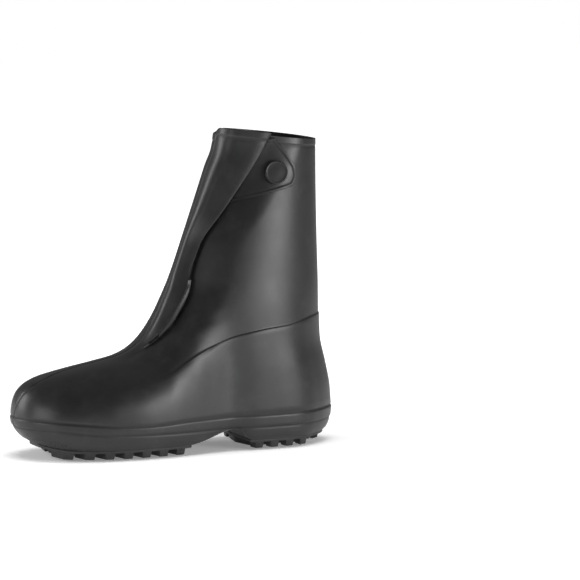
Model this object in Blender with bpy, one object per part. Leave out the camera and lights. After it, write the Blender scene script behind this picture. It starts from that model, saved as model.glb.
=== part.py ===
"""Ice traction overshoe: a moulded rubber overshoe with an overlapped, buttoned shaft and a studded tread.

Metres, +Z up. The toe points to -X, the heel to +X and the lateral side, with the closure, to -Y.
The origin is under the middle of the boot's length and width, on the ground that the stud tips stand on.
"""
import math

import bmesh
import bpy
import numpy as np
from mathutils import Vector

# Driving dimensions, in metres.
LENGTH = 0.304            # toe bumper to heel nose
WIDTH = 0.110             # across the ball of the foot
HEIGHT = 0.2725           # rim above the ground at the back of the shaft
SHAFT_WIDTH = 0.084       # across the shaft at mid height
WALL = 0.0016             # moulded rubber wall of the upper
GAP = 0.0003              # between pieces that touch
STUD_PROUD = 0.0015       # stud tip below the lug faces
LUG_DEPTH = 0.0055        # tread depth
TREAD_PLATE = 0.0022      # web that carries the tread
SHANK_RISE = 0.0105       # bottom of the shank above the bottom of the forefoot
SIDE_TUCK = 0.0038        # side wall pulls in towards the tread
TOE_TUCK = 0.0180         # toe bumper rolls in towards the tread
HEEL_TUCK = 0.0085        # heel nose rolls in towards the tread
TOE_ROLL = 0.33           # stretch of the foot that the toe bumper's roll takes in,
HEEL_ROLL = 0.22          # and the heel nose's, as shares of LENGTH
INSTEP = 0.45             # from here back the foot's dome goes over into upright sides, as a share of LENGTH
TREAD_MARGIN = 0.0008     # tread plate inside the edge of the wall

PLEAT_SPAN = 0.026        # half of the stretch of wall that the overlap takes in
PLEAT_OVERLAP = 0.022     # overlap of the two panels at the rim
PANEL_RISE = 0.0026       # the front panel's rim stands above the rest of the rim,
RIM_CORNER = 0.0042       # which drops at the front mid line
RIM_CORNER_NEAR = (0.0, 0.008)     # it has risen again over this stretch of the lateral rim
RIM_CORNER_FAR = (0.020, 0.042)    # and over this one of the medial rim
FOLD_RADIUS = 0.0021      # outer radius of the rolled fold edge
FOLD_SLOT = 0.0036        # slot under the fold, where the tab comes out
VALLEY_DEPTH = 0.0045     # dip of the rear panel behind the fold
VALLEY_LENGTH = 0.038     # the dip fills over this length

TAB_THICKNESS = 0.0018
TAB_REST = 0.0006         # tab above the smooth form of the wall
TAB_TUCK = 0.0012         # the tab goes on under the fold by this much
BUTTON_DIAMETER = 0.0208
BUTTON_THICKNESS = 0.0034
BUTTON_ROUND = 0.0009     # rounding of the button's rim
BUTTON_LIFT = 0.0010      # the bowed tab holds the button's head up by this much
NECK_DIAMETER = 0.0060    # the button's neck, through the tab

LUG_LENGTH = 0.0128       # side lug of the forefoot, along the foot
LUG_REACH = 0.0185        # and across it
LUG_SLANT = 0.0036        # its toe side runs this much to the heel on the way out
HEEL_LUG_LENGTH = 0.0103
HEEL_LUG_REACH = 0.0110
HEEL_LUG_SLANT = 0.0016
LUG_TAPER = 0.0010        # each wall of a lug leans in by this much
BAR_WIDTH = 0.0074        # chevron bar, along the foot
BOSS_DIAMETER = 0.0106
ROOT = 0.0006             # lugs start this far inside the plate
SOLE_INSET = 0.0004       # outer ends of the lugs inside the plate's edge
BOSS_SIDES = 10
STUD_DIAMETER = 0.0030
STUD_TIP_DIAMETER = 0.0018
STUD_LENGTH = 0.0066
POINT_LENGTH = 0.0012     # tapered end of a stud
SOCKET_TOP = STUD_LENGTH + GAP
STUD_SIDES = 8
TREAD_START = 0.0020      # tread plates start this far inside the ends of the underside

# Level of the forefoot's underside, where the tread plate is moulded on.
SOLE_LEVEL = STUD_PROUD + LUG_DEPTH + TREAD_PLATE + GAP
TOE = -LENGTH / 2
HEEL = LENGTH / 2
# Sections and blocks are placed from the foot's mid line. The last step moves everything across, so that
# the origin is midway between the widest points.

# Front of the side outline, from the toe bumper up to the rim.
# distance behind the toe as a share of LENGTH, height as a share of HEIGHT
FRONT_COLUMNS = ("back", "height")
FRONT = (
    (0.000, 0.130),
    (0.004, 0.174),
    (0.018, 0.216),
    (0.046, 0.245),
    (0.088, 0.264),
    (0.138, 0.277),
    (0.197, 0.290),
    (0.260, 0.303),
    (0.318, 0.318),
    (0.358, 0.337),
    (0.391, 0.364),
    (0.418, 0.400),
    (0.440, 0.442),
    (0.466, 0.503),
    (0.500, 0.595),
    (0.534, 0.700),
    (0.569, 0.810),
    (0.602, 0.915),
    (0.622, 0.975),
    (0.632, 1.040),
)
# Back of the side outline, from the heel nose up to the rim.
# distance before the heel as a share of LENGTH, height as a share of HEIGHT
BACK_COLUMNS = ("forward", "height")
BACK = (
    (0.000, 0.120),
    (0.004, 0.180),
    (0.018, 0.260),
    (0.036, 0.350),
    (0.041, 0.440),
    (0.044, 0.540),
    (0.049, 0.700),
    (0.052, 0.850),
    (0.054, 1.000),
)
# Footprint at its widest level.
# distance behind the toe as a share of LENGTH, half widths as shares of WIDTH
PLAN_COLUMNS = ("back", "lateral", "medial")
PLAN = (
    (0.000, 0.000, 0.000),
    (0.020, 0.205, 0.200),
    (0.055, 0.315, 0.305),
    (0.100, 0.400, 0.390),
    (0.170, 0.472, 0.445),
    (0.260, 0.518, 0.475),
    (0.330, 0.528, 0.482),
    (0.420, 0.508, 0.473),
    (0.500, 0.464, 0.443),
    (0.570, 0.420, 0.405),
    (0.630, 0.395, 0.385),
    (0.720, 0.410, 0.405),
    (0.790, 0.405, 0.402),
    (0.845, 0.385, 0.382),
    (0.885, 0.345, 0.342),
    (0.930, 0.262, 0.260),
    (0.975, 0.145, 0.143),
    (1.000, 0.000, 0.000),
)
# Half width of the shaft, as a share of SHAFT_WIDTH, over height as a share of HEIGHT.
SHAFT_COLUMNS = ("height", "half")
SHAFT = (
    (0.260, 0.520),
    (0.440, 0.525),
    (0.600, 0.505),
    (0.780, 0.480),
    (0.900, 0.462),
    (1.030, 0.455),
)
# Underside of the upper: toe spring, forefoot, shank and heel seat.
# distance behind the toe as a share of LENGTH, rise as a share of SHANK_RISE
SOLE_COLUMNS = ("back", "rise")
SOLE = (
    (0.000, 0.900),
    (0.060, 0.380),
    (0.100, 0.120),
    (0.135, 0.000),
    (0.485, 0.000),
    (0.530, 0.200),
    (0.600, 0.800),
    (0.640, 1.000),
    (0.655, 0.950),
    (0.680, 0.120),
    (0.695, 0.000),
    (1.000, 0.000),
)
# Levels of the wall's sections: each section is a plane from a point of the front outline to one of
# the back outline, both as shares of the outline's own length.
SECTION_COLUMNS = ("front", "back")
SECTIONS = (
    (0.000, 0.000),
    (0.330, 0.270),
    (0.480, 0.360),
    (1.000, 1.000),
)
# The overlap of the shaft, over the share of the front outline's length at which a section starts.
# place of the fold's edge round the lateral side (0 at the front, 1 at the back), overlap as a share of
# PLEAT_OVERLAP (below 0 the wall only steps), slot as a share of FOLD_SLOT, relief as a share of the stack
PLEAT_COLUMNS = ("front", "place", "overlap", "slot", "relief")
PLEAT = (
    (0.290, 0.030, -1.000, 0.300, 0.000),
    (0.360, 0.055, -0.700, 0.300, 0.180),
    (0.430, 0.100, -0.350, 0.300, 0.520),
    (0.500, 0.140, 0.020, 0.300, 0.900),
    (0.570, 0.158, 0.120, 0.400, 1.000),
    (0.630, 0.140, 0.160, 0.400, 1.000),
    (0.690, 0.150, 0.220, 0.450, 1.000),
    (0.780, 0.230, 0.420, 0.900, 1.000),
    (0.880, 0.325, 0.700, 1.000, 1.000),
    (1.000, 0.440, 1.000, 1.000, 1.000),
)
FRONT_NODES = 5           # steps of a lateral half section before the overlap,
PLEAT_NODES = 14          # in it
REAR_NODES = 12           # and behind it
HALF_NODES = FRONT_NODES + PLEAT_NODES + REAR_NODES
END_CROWDING = 0.40       # nodes of the foot's sections draw together towards toe and heel
RIM_START = 0.90          # the rim's shape starts at this share of the front outline
SHARES = np.linspace(0.0, 1.0, HALF_NODES + 1)
EVEN = SHARES - END_CROWDING * np.sin(2 * math.pi * SHARES) / (2 * math.pi)


def column(rows, columns, name):
    """One named column of a table, as an array."""
    return np.array([row[columns.index(name)] for row in rows], float)


def blend(x, xs, ys):
    """Smooth curve through a table's points that never overshoots them."""
    xs, ys = np.asarray(xs, float), np.asarray(ys, float)
    h, d = np.diff(xs), np.diff(ys) / np.diff(xs)
    m = np.zeros(len(xs))
    same = d[:-1] * d[1:] > 0
    w1, w2 = 2 * h[1:] + h[:-1], h[1:] + 2 * h[:-1]
    safe = np.where(same, d[:-1], 1.0), np.where(same, d[1:], 1.0)
    m[1:-1] = np.where(same, (w1 + w2) / (w1 / safe[0] + w2 / safe[1]), 0.0)
    m[0], m[-1] = d[0], d[-1]
    x = np.clip(np.asarray(x, float), xs[0], xs[-1])
    i = np.clip(np.searchsorted(xs, x) - 1, 0, len(h) - 1)
    t = (x - xs[i]) / h[i]
    a, b = (1 + 2 * t) * (1 - t) ** 2, t * t * (3 - 2 * t)
    return a * ys[i] + t * (1 - t) ** 2 * h[i] * m[i] + b * ys[i + 1] - t * t * (1 - t) * h[i] * m[i + 1]


def step(x, low, high):
    """Smooth change from 0 at low to 1 at high."""
    t = np.clip((x - low) / (high - low), 0.0, 1.0)
    return t * t * (3 - 2 * t)


def along(xs, ys, share):
    """Point at a share of the length of a polyline."""
    run = np.concatenate([[0.0], np.cumsum(np.hypot(np.diff(xs), np.diff(ys)))])
    at = np.asarray(share) * run[-1]
    return np.interp(at, run, xs), np.interp(at, run, ys)


FRONT_X = TOE + column(FRONT, FRONT_COLUMNS, "back") * LENGTH
FRONT_Z = column(FRONT, FRONT_COLUMNS, "height") * HEIGHT
BACK_X = HEEL - column(BACK, BACK_COLUMNS, "forward") * LENGTH
BACK_Z = column(BACK, BACK_COLUMNS, "height") * HEIGHT
DENSE = np.linspace(0.0, 1.0, 400)
FRONT_RUN = blend(DENSE * (len(FRONT) - 1), range(len(FRONT)), FRONT_X), \
    blend(DENSE * (len(FRONT) - 1), range(len(FRONT)), FRONT_Z)
BACK_RUN = blend(DENSE * (len(BACK) - 1), range(len(BACK)), BACK_X), \
    blend(DENSE * (len(BACK) - 1), range(len(BACK)), BACK_Z)


def plan_half(x, side):
    """Half width of the footprint at its widest level, side is 'lateral' or 'medial'."""
    share = np.clip((x - TOE) / LENGTH, 0.0, 1.0)
    turn = np.arccos(1 - 2 * column(PLAN, PLAN_COLUMNS, "back"))
    return WIDTH * blend(np.arccos(1 - 2 * share), turn, column(PLAN, PLAN_COLUMNS, side))


def sole_level(x):
    """Height of the upper's underside."""
    rise = blend((x - TOE) / LENGTH, column(SOLE, SOLE_COLUMNS, "back"), column(SOLE, SOLE_COLUMNS, "rise"))
    return SOLE_LEVEL + SHANK_RISE * rise


def wall_half(x, z, side):
    """Half width of the upper at a place of its side view."""
    back = np.interp(z, BACK_RUN[1], BACK_RUN[0])
    front = np.interp(z, FRONT_RUN[1], FRONT_RUN[0])
    crest = np.interp(x, *FRONT_RUN)
    widest = np.interp(x, [TOE, HEEL], [FRONT_Z[0], BACK_Z[0]])
    dome = np.clip((z - widest) / np.maximum(crest - widest, 1e-6), 0.0, 1.0)
    dome = dome * (1 - step(x, TOE + INSTEP * LENGTH, FRONT_X[-1]))
    foot = plan_half(x + (HEEL - back) * step(x, 0.0, back), side) * (1 - dome ** 2.2) ** (1 / 2.2)
    half = SHAFT_WIDTH * blend(z / HEIGHT, column(SHAFT, SHAFT_COLUMNS, "height"),
                               column(SHAFT, SHAFT_COLUMNS, "half"))
    reach = np.clip(np.abs(2 * x - front - back) / (back - front), 0.0, 1.0)
    shaft = half * (1 - reach ** 2.1) ** (1 / 2.1)
    return foot + (shaft - foot) * step(z, 0.26 * HEIGHT, 0.56 * HEIGHT)


def half_section(front_share, back_share, side, count=160):
    """Points of one side of a section, from the front to the back."""
    front_x, front_z = along(*FRONT_RUN, front_share)
    back_x, back_z = along(*BACK_RUN, back_share)
    t = (1 - np.cos(np.linspace(0.0, math.pi, count))) / 2
    x = front_x + (back_x - front_x) * t
    z = front_z + (back_z - front_z) * t
    y = wall_half(x, z, side) * (-1 if side == "lateral" else 1)
    y[0] = y[-1] = 0.0
    return np.stack([x, y, z], 1)


def pleat_row(front_share):
    """The overlap's values at a section."""
    at = column(PLEAT, PLEAT_COLUMNS, "front")
    return [float(blend(front_share, at, column(PLEAT, PLEAT_COLUMNS, name))) for name in PLEAT_COLUMNS[1:]]


def pleat_bend(span, overlap):
    """Turn of the fold and size of the wave that makes the panels overlap by a length."""
    turns = np.linspace(0.0, 1.45, 300)
    turn = float(np.interp(math.pi * max(overlap, 0.0) / (2 * span), np.tan(turns) - turns, turns))
    return turn / math.pi, span / (math.pi * math.cos(turn))


def pleat_path(span, overlap, slot, count):
    """The overlap's strip from front to back: place, stand-off, even parameter, 1 on the outer panel."""
    if overlap < 0:
        edge, wave = 0.0, (1 + overlap / PLEAT_OVERLAP) * span / math.pi
    else:
        edge, wave = pleat_bend(span, overlap)
    pull = wave * math.pi ** 2 * math.sin(math.pi * edge)
    roll, tuck = [min(0.32, 0.75 * math.sqrt(2 * h / max(pull, 1e-6))) for h in (2 * FOLD_RADIUS, slot)]
    knots = [-1.0, -0.5 * (1 + edge + roll)]
    knots += [-edge + roll * k for k in (-1.0, -0.5, 0.0, 0.5, 1.0)]
    knots += [edge + tuck * k for k in (-1.0, -0.5, 0.0, 0.5, 1.0)]
    knots += [0.5 * (1 + edge + tuck), 1.0]
    tau = np.sort(np.clip(knots, -1.0, 1.0))
    even = np.linspace(-1.0, 1.0, len(tau))
    tau = even + (tau - even) * 0.9
    tau = np.interp(np.linspace(0.0, 1.0, count), np.linspace(0.0, 1.0, len(tau)), tau)
    place = span * tau - wave * np.sin(math.pi * tau)
    rise = 2 * FOLD_RADIUS * (1 - step(tau, -edge - roll, -edge + roll))
    drop = slot * (1 - step(tau, edge - tuck, edge + tuck))
    return place, rise + drop, tau, rise / (2 * FOLD_RADIUS)


def half_length(points):
    return float(np.sum(np.linalg.norm(np.diff(points, axis=0), axis=1)))


def offset_points(points, at, stand_off):
    """Points at given lengths along a half section, moved out by their stand-off in the section's plane."""
    run = np.concatenate([[0.0], np.cumsum(np.linalg.norm(np.diff(points, axis=0), axis=1))])
    tangent = np.gradient(points, run, axis=0)
    plane = np.cross(points[-1] - points[0], [0.0, 1.0, 0.0])
    normal = np.cross(tangent, plane)
    normal /= np.linalg.norm(normal, axis=1)[:, None]
    if normal[len(normal) // 2, 1] * points[len(points) // 2, 1] < 0:
        normal = -normal
    place = np.stack([np.interp(at, run, points[:, k]) for k in range(3)], 1)
    out = np.stack([np.interp(at, run, normal[:, k]) for k in range(3)], 1)
    return place + out * np.asarray(stand_off)[:, None]


def overlap_strip(front_share, length):
    """The fold's edge, the middle of the overlap and half of the strip that it takes in, as lengths."""
    place, overlap = pleat_row(front_share)[:2]
    edge = place * length
    centre = edge - max(overlap * PLEAT_OVERLAP, 0.0) / 2
    return edge, centre, min(PLEAT_SPAN, 0.62 * centre)


def valley(front_share, length, at):
    """Depth of the dip behind the fold at lengths along the lateral half section."""
    edge, centre, span = overlap_strip(front_share, length)
    relief = pleat_row(front_share)[3]
    dip = VALLEY_DEPTH * relief * step(at, centre - span, centre)
    return dip * (1 - step(at, edge, edge + VALLEY_LENGTH))


def lateral_nodes(front_share, length):
    """Places along the lateral half section, stand-offs of the wall there, and 1 on the front panel."""
    _, overlap, slot, relief = pleat_row(front_share)
    slot = slot * FOLD_SLOT
    even = length * EVEN
    edge, centre, span = overlap_strip(front_share, length)
    strip, rise, tau, front_panel = pleat_path(span, overlap * PLEAT_OVERLAP, slot, PLEAT_NODES + 1)
    at = np.concatenate([np.linspace(0.0, centre - span, FRONT_NODES + 1)[:-1], centre + strip,
                         np.linspace(centre + span, length, REAR_NODES + 1)[1:]])
    stack = 2 * FOLD_RADIUS + slot
    off = np.concatenate([np.full(FRONT_NODES, stack), rise, np.zeros(REAR_NODES)])
    sheet = np.concatenate([at[:FRONT_NODES], centre + span * tau, at[-REAR_NODES:]])
    off = off * step(sheet, 0.0, 0.8 * centre) * relief - valley(front_share, length, at)
    share = step(front_share, 0.0, 0.42)
    panel = np.concatenate([np.ones(FRONT_NODES), front_panel, np.zeros(REAR_NODES)])
    return even + (at - even) * share, off, panel


def rim_corner(front_share, at, rise):
    """How far the wall is drawn down towards the rim's front corner, at lengths from the front mid line."""
    return RIM_CORNER * (1 - step(at, *rise)) * step(front_share, RIM_START, 1.0)


def section(front_share, back_share):
    """Closed section of the wall: lateral side from front to back, then medial side back to the front."""
    lateral = half_section(front_share, back_share, "lateral")
    medial = half_section(front_share, back_share, "medial")
    at, off, front_panel = lateral_nodes(front_share, half_length(lateral))
    far_at = half_length(medial) * EVEN
    near = offset_points(lateral, at, off)
    far = offset_points(medial, far_at, np.zeros(HALF_NODES + 1))
    rise = PANEL_RISE * step(front_share, RIM_START, 1.0) * front_panel
    near[:, 2] += rise * step(at, *RIM_CORNER_NEAR) - rim_corner(front_share, at, RIM_CORNER_NEAR)
    far[:, 2] -= rim_corner(front_share, far_at, RIM_CORNER_FAR)
    return np.concatenate([near, far[::-1][1:-1]])


def tucked(ring, turn):
    """The widest section rolled in under the foot by an angle, down to the underside."""
    roll, x = 1 - math.cos(turn), ring[:, 0]
    toe = TOE_TUCK * (1 - step(x, TOE, TOE + TOE_ROLL * LENGTH))
    heel = HEEL_TUCK * step(x, HEEL - HEEL_ROLL * LENGTH, HEEL)
    x = x + roll * (toe - heel)
    y = ring[:, 1] * (1 - roll * 2 * SIDE_TUCK / WIDTH)
    return np.column_stack([x, y, ring[:, 2] + (sole_level(x) - ring[:, 2]) * math.sin(turn)])


SECTION_STEPS = (0.0, 0.045, 0.09, 0.13, 0.17, 0.21, 0.25, 0.29, 0.33, 0.37, 0.41, 0.45, 0.49, 0.53,
                 0.575, 0.62, 0.67, 0.72, 0.77, 0.82, 0.86, 0.90, 0.935, 0.97, 1.0)
TUCK_STEPS = (90, 72, 52, 28)
# Outline of the closure tab from its lower corner at the back up to its tip by the rim.
# share of the front outline's length, place round the lateral side
TAB_COLUMNS = ("front", "place")
TAB = (
    (0.856, 0.575),
    (0.864, 0.612),
    (0.890, 0.632),
    (0.920, 0.610),
    (0.956, 0.545),
    (0.995, 0.456),
)
TAB_ROOT = (0.812, 0.990)          # the tab's stretch along the fold, as shares like those above
TAB_ROWS, TAB_STEPS = 10, 6
BUTTON_SEAT = (0.898, 0.492)
SEAT_STEP = 0.03                   # the wall's slope under the button is taken over this share each way
# Side lugs: a row of them on each side of a tread.
# Columns: first (centre before the heel nose) and pitch as shares of LENGTH, number, side (1 is medial).
FOREFOOT_LUGS = (
    (0.8650, 0.0545, 7, 1),
    (0.8780, 0.0552, 7, -1),
)
HEEL_LUGS = (
    (0.2780, 0.0503, 4, 1),
    (0.2860, 0.0490, 4, -1),
)
# Chevron bars.
# Columns: apex (before the heel nose) and sweep, as shares of LENGTH, and medial and lateral reach, of WIDTH.
FOREFOOT_BARS = (
    (0.839, 0.016, 0.190, 0.160),
    (0.752, 0.019, 0.245, 0.235),
    (0.663, 0.022, 0.250, 0.255),
    (0.572, 0.016, 0.210, 0.225),
)
HEEL_BARS = (
    (0.309, 0.014, 0.215, 0.205),
    (0.219, 0.018, 0.205, 0.190),
    (0.111, 0.010, 0.090, 0.085),
)
# Bosses between the bars.
# Columns: forward (centre before the heel nose, of LENGTH), offset (of WIDTH, plus is medial), studded.
FOREFOOT_BOSSES = (
    (0.863, 0.090, 1), (0.867, -0.085, 1), (0.768, 0.190, 1), (0.785, 0.000, 1), (0.773, -0.180, 1),
    (0.673, 0.218, 1), (0.690, 0.000, 1), (0.677, -0.210, 1), (0.582, 0.190, 1), (0.584, -0.220, 1),
    (0.605, 0.000, 0),
)
HEEL_BOSSES = (
    (0.232, 0.150, 1), (0.235, -0.148, 1), (0.131, 0.118, 1), (0.134, -0.118, 1), (0.057, 0.000, 1),
    (0.257, 0.000, 0), (0.154, 0.000, 0),
)
FOREFOOT_END = 0.506               # back edge of the forefoot tread and breast of the heel,
HEEL_BREAST = 0.312                # before the heel nose, as shares of LENGTH
FOREFOOT_STUD_LUGS = (1, 3, 5)     # side lugs that carry a stud, counted from the toe
HEEL_STUD_LUGS = (3,)
HEEL_HOLE_LUGS = (1,)              # side lugs with an empty stud hole


def back_share(front_share):
    """Share of the back outline at which a section that starts at a share of the front one ends."""
    front, back = [column(SECTIONS, SECTION_COLUMNS, name) for name in SECTION_COLUMNS]
    return float(np.interp(front_share, front, back))


def upper_rings():
    rings = [section(share, back_share(share)) for share in SECTION_STEPS]
    return [tucked(rings[0], math.radians(turn)) for turn in TUCK_STEPS] + rings


def new_object(name, bm, look, smooth_angle=35.0):
    """Object from a bmesh, faces out, smooth but for its sharp edges."""
    bmesh.ops.recalc_face_normals(bm, faces=bm.faces)
    mesh = bpy.data.meshes.new(name)
    bm.to_mesh(mesh)
    bm.free()
    mesh.shade_smooth()
    mesh.set_sharp_from_angle(angle=math.radians(smooth_angle))
    if look:
        mesh.materials.append(look)
    obj = bpy.data.objects.new(name, mesh)
    bpy.context.collection.objects.link(obj)
    return obj


def material(name, colour, roughness, metallic):
    look = bpy.data.materials.new(name)
    look.use_nodes = True
    shader = look.node_tree.nodes["Principled BSDF"]
    shader.inputs["Base Color"].default_value = (*colour, 1.0)
    shader.inputs["Roughness"].default_value = roughness
    shader.inputs["Metallic"].default_value = metallic
    look.diffuse_color = (*colour, 1.0)
    return look


def skin(bm, rings):
    """Quads over rings of equal count, bottom to top."""
    loops = [[bm.verts.new(point) for point in ring] for ring in rings]
    for low, high in zip(loops, loops[1:]):
        for i in range(len(low)):
            j = (i + 1) % len(low)
            bm.faces.new((low[i], low[j], high[j], high[i]))
    return loops


def capped(bm, rings):
    """Closed solid over rings, with a flat cap at each end."""
    loops = skin(bm, rings)
    bm.faces.new(loops[0][::-1])
    bm.faces.new(loops[-1])


def turned(bm, profile, seat, axis, sides):
    """Closed turned solid: a profile of (place along the axis, radius) points from a seat along an axis."""
    turn = Vector((0.0, 0.0, 1.0)).rotation_difference(Vector(axis)).to_matrix()
    rings = []
    for height, radius in profile:
        angles = [2 * math.pi * k / sides for k in range(sides)]
        rings.append([Vector(seat) + turn @ Vector((radius * math.cos(a), radius * math.sin(a), height))
                      for a in angles])
    capped(bm, rings)


def cut(obj, cutter, operation):
    """Live Boolean with a cutter that the render leaves out."""
    change = obj.modifiers.new(cutter.name, "BOOLEAN")
    change.object = cutter
    change.operation = operation
    change.solver = "EXACT"
    cutter.hide_render = True
    cutter.display_type = "WIRE"


def build_upper(rubber):
    """The moulded upper: foot, shaft and overlap in one hollow wall, closed under the foot."""
    bm = bmesh.new()
    sole = skin(bm, upper_rings())[0]
    for i in range(HALF_NODES):
        rungs = [sole[i], sole[i + 1], sole[-i - 1], sole[-i]]
        bm.faces.new(list(dict.fromkeys(rungs)))
    obj = new_object("upper", bm, rubber)
    wall = obj.modifiers.new("wall", "SOLIDIFY")
    wall.thickness = WALL
    wall.offset = -1.0
    wall.use_even_offset = True
    wall.use_quality_normals = True
    return obj


def rear_wall(front_share, place, stand_off):
    """Point off the lateral wall behind the fold, and the wall's outward direction there."""
    lateral = half_section(front_share, back_share(front_share), "lateral")
    length = half_length(lateral)
    at = place * length
    off = stand_off - valley(front_share, length, np.array([at]))[0]
    points = offset_points(lateral, [at, at], [off, off + 1.0])
    return Vector(points[0]), Vector(points[1] - points[0])


def button_seat():
    """Foot of the button on the dipped wall, and the way out from the wall there."""
    front, place = BUTTON_SEAT
    behind = rear_wall(front, place + SEAT_STEP, 0.0)[0] - rear_wall(front, place - SEAT_STEP, 0.0)[0]
    above = rear_wall(front + SEAT_STEP, place, 0.0)[0] - rear_wall(front - SEAT_STEP, place, 0.0)[0]
    return rear_wall(front, place, 0.0)[0], behind.cross(above).normalized()


def tab_point(row, across, stand_off):
    """Point of the tab: row 0 is its lower edge and 1 its tip, across 0 its root and 1 its free edge."""
    root = TAB_ROOT[0] + (TAB_ROOT[1] - TAB_ROOT[0]) * row
    rows = np.linspace(0.0, 1.0, len(TAB))
    free_front, free_place = [float(np.interp(row, rows, column(TAB, TAB_COLUMNS, name)))
                              for name in TAB_COLUMNS]
    girth = half_length(half_section(root, back_share(root), "lateral"))
    start = pleat_row(root)[0] - TAB_TUCK / girth
    front = root + (free_front - root) * across
    return rear_wall(front, start + (free_place - start) * across, stand_off)[0]


def build_tab(rubber):
    """The closure tab: a lip that leaves the slot under the fold and lies on the rear panel."""
    bm = bmesh.new()
    inner, outer = TAB_REST, TAB_REST + TAB_THICKNESS
    edge = [(i / TAB_ROWS, 0.0) for i in range(TAB_ROWS)] + [(1.0, j / TAB_STEPS) for j in range(TAB_STEPS)]
    edge += [(1 - a, 1 - b) for a, b in edge]
    sheets = [[[bm.verts.new(tab_point(i / TAB_ROWS, j / TAB_STEPS, off)) for j in range(TAB_STEPS + 1)]
               for i in range(TAB_ROWS + 1)] for off in (inner, outer)]
    for sheet in sheets:
        for i in range(TAB_ROWS):
            for j in range(TAB_STEPS):
                bm.faces.new((sheet[i][j], sheet[i][j + 1], sheet[i + 1][j + 1], sheet[i + 1][j]))
    rim = [[sheet[round(a * TAB_ROWS)][round(b * TAB_STEPS)] for a, b in edge] for sheet in sheets]
    for k in range(len(edge)):
        bm.faces.new((rim[0][k - 1], rim[0][k], rim[1][k], rim[1][k - 1]))
    obj = new_object("closure_tab", bm, rubber)
    seat, out = button_seat()
    hole = bmesh.new()
    turned(hole, [(-BUTTON_DIAMETER, NECK_DIAMETER / 2 + GAP), (BUTTON_DIAMETER, NECK_DIAMETER / 2 + GAP)],
           seat, out, 16)
    cut(obj, new_object("tab_hole", hole, None), "DIFFERENCE")
    return obj


def build_button(rubber):
    """The button: a dished round head over the tab, on a neck that reaches the shaft's wall."""
    seat, out = button_seat()
    neck, head = NECK_DIAMETER / 2, BUTTON_DIAMETER / 2
    under = TAB_REST + TAB_THICKNESS + BUTTON_LIFT
    top = under + BUTTON_THICKNESS
    dish = head - 2 * BUTTON_ROUND
    bm = bmesh.new()
    turned(bm, [(GAP, neck), (under, neck), (under, head - BUTTON_ROUND), (under + BUTTON_ROUND, head),
                (top - BUTTON_ROUND, head), (top, head - BUTTON_ROUND), (top, dish),
                (top - BUTTON_ROUND, dish - BUTTON_ROUND)], seat, out, 24)
    return new_object("button", bm, rubber)


def sole_edge(side):
    """Edge of the upper's underside, as rising x and half width."""
    ring = tucked(section(0.0, 0.0), math.pi / 2)
    half = ring[:HALF_NODES + 1] if side < 0 else np.vstack([ring[:1], ring[:HALF_NODES - 1:-1]])
    return half[:, 0], np.abs(half[:, 1])


def tread_half(x, side):
    """Half width of a tread plate at x."""
    xs, halves = sole_edge(side)
    return float(np.interp(x, xs, halves, left=0.0, right=0.0)) - TREAD_MARGIN


def tread_plate(bm, start, end, rounded_toe, steps):
    """Web under the foot from x start to x end, following the underside and its edge."""
    turn = np.linspace(0.0, 1.0, steps + 1)
    places = start + (end - start) * (turn ** 2 if rounded_toe else 1 - (1 - turn) ** 2)
    outline = [(x, -tread_half(x, -1)) for x in places]
    outline += [(x, tread_half(x, 1)) for x in places[::-1]]
    top = [(x, y, float(sole_level(x)) - GAP) for x, y in outline]
    bottom = [(x, y, z - TREAD_PLATE) for x, y, z in top]
    loops = [[bm.verts.new(point) for point in ring] for ring in (bottom, top)]
    count = len(outline)
    for k in range(count):
        bm.faces.new((loops[0][k - 1], loops[0][k], loops[1][k], loops[1][k - 1]))
    for loop in loops:
        for k in range(steps):
            bm.faces.new((loop[k], loop[k + 1], loop[count - k - 2], loop[count - k - 1]))


def prism(bm, outline):
    """Tread block: an outline that a function gives for an inset, tapering down to the lug faces."""
    root = [(x, y, float(sole_level(x)) - GAP - TREAD_PLATE + ROOT) for x, y in outline(0.0)]
    capped(bm, [[(x, y, STUD_PROUD) for x, y in outline(LUG_TAPER)], root])


def lug_places(rows):
    """Side lugs of a tread: centre x, side and number from the toe."""
    for first, pitch, number, side in rows:
        for k in range(number):
            yield HEEL - (first - k * pitch) * LENGTH, side, k


def side_lug(x, side, length, reach, slant):
    """Outline of a side lug between the plate's edge and its inner end."""
    def outline(inset):
        half, inner = length / 2 - inset, reach - inset
        corners = [(x - half + slant, inset), (x + half, inset), (x + half, inner), (x - half, inner)]
        return [(a, side * (tread_half(a, side) - SOLE_INSET - b)) for a, b in corners]
    return outline


def chevron(apex, sweep, medial, lateral):
    """Outline of a chevron bar that points to the toe."""
    def outline(inset):
        x, far = HEEL - apex * LENGTH + inset, BAR_WIDTH - 2 * inset
        back, left, right = x + sweep * LENGTH, medial * WIDTH - inset, inset - lateral * WIDTH
        return [(x, 0.0), (back, left), (back + far, left), (x + far, 0.0), (back + far, right),
                (back, right)]
    return outline


def boss(x, y):
    """Outline of a round boss."""
    def outline(inset):
        turn = [2 * math.pi * (k + 0.5) / BOSS_SIDES for k in range(BOSS_SIDES)]
        radius = BOSS_DIAMETER / 2 - inset
        return [(x + radius * math.cos(a), y + radius * math.sin(a)) for a in turn]
    return outline


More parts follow.
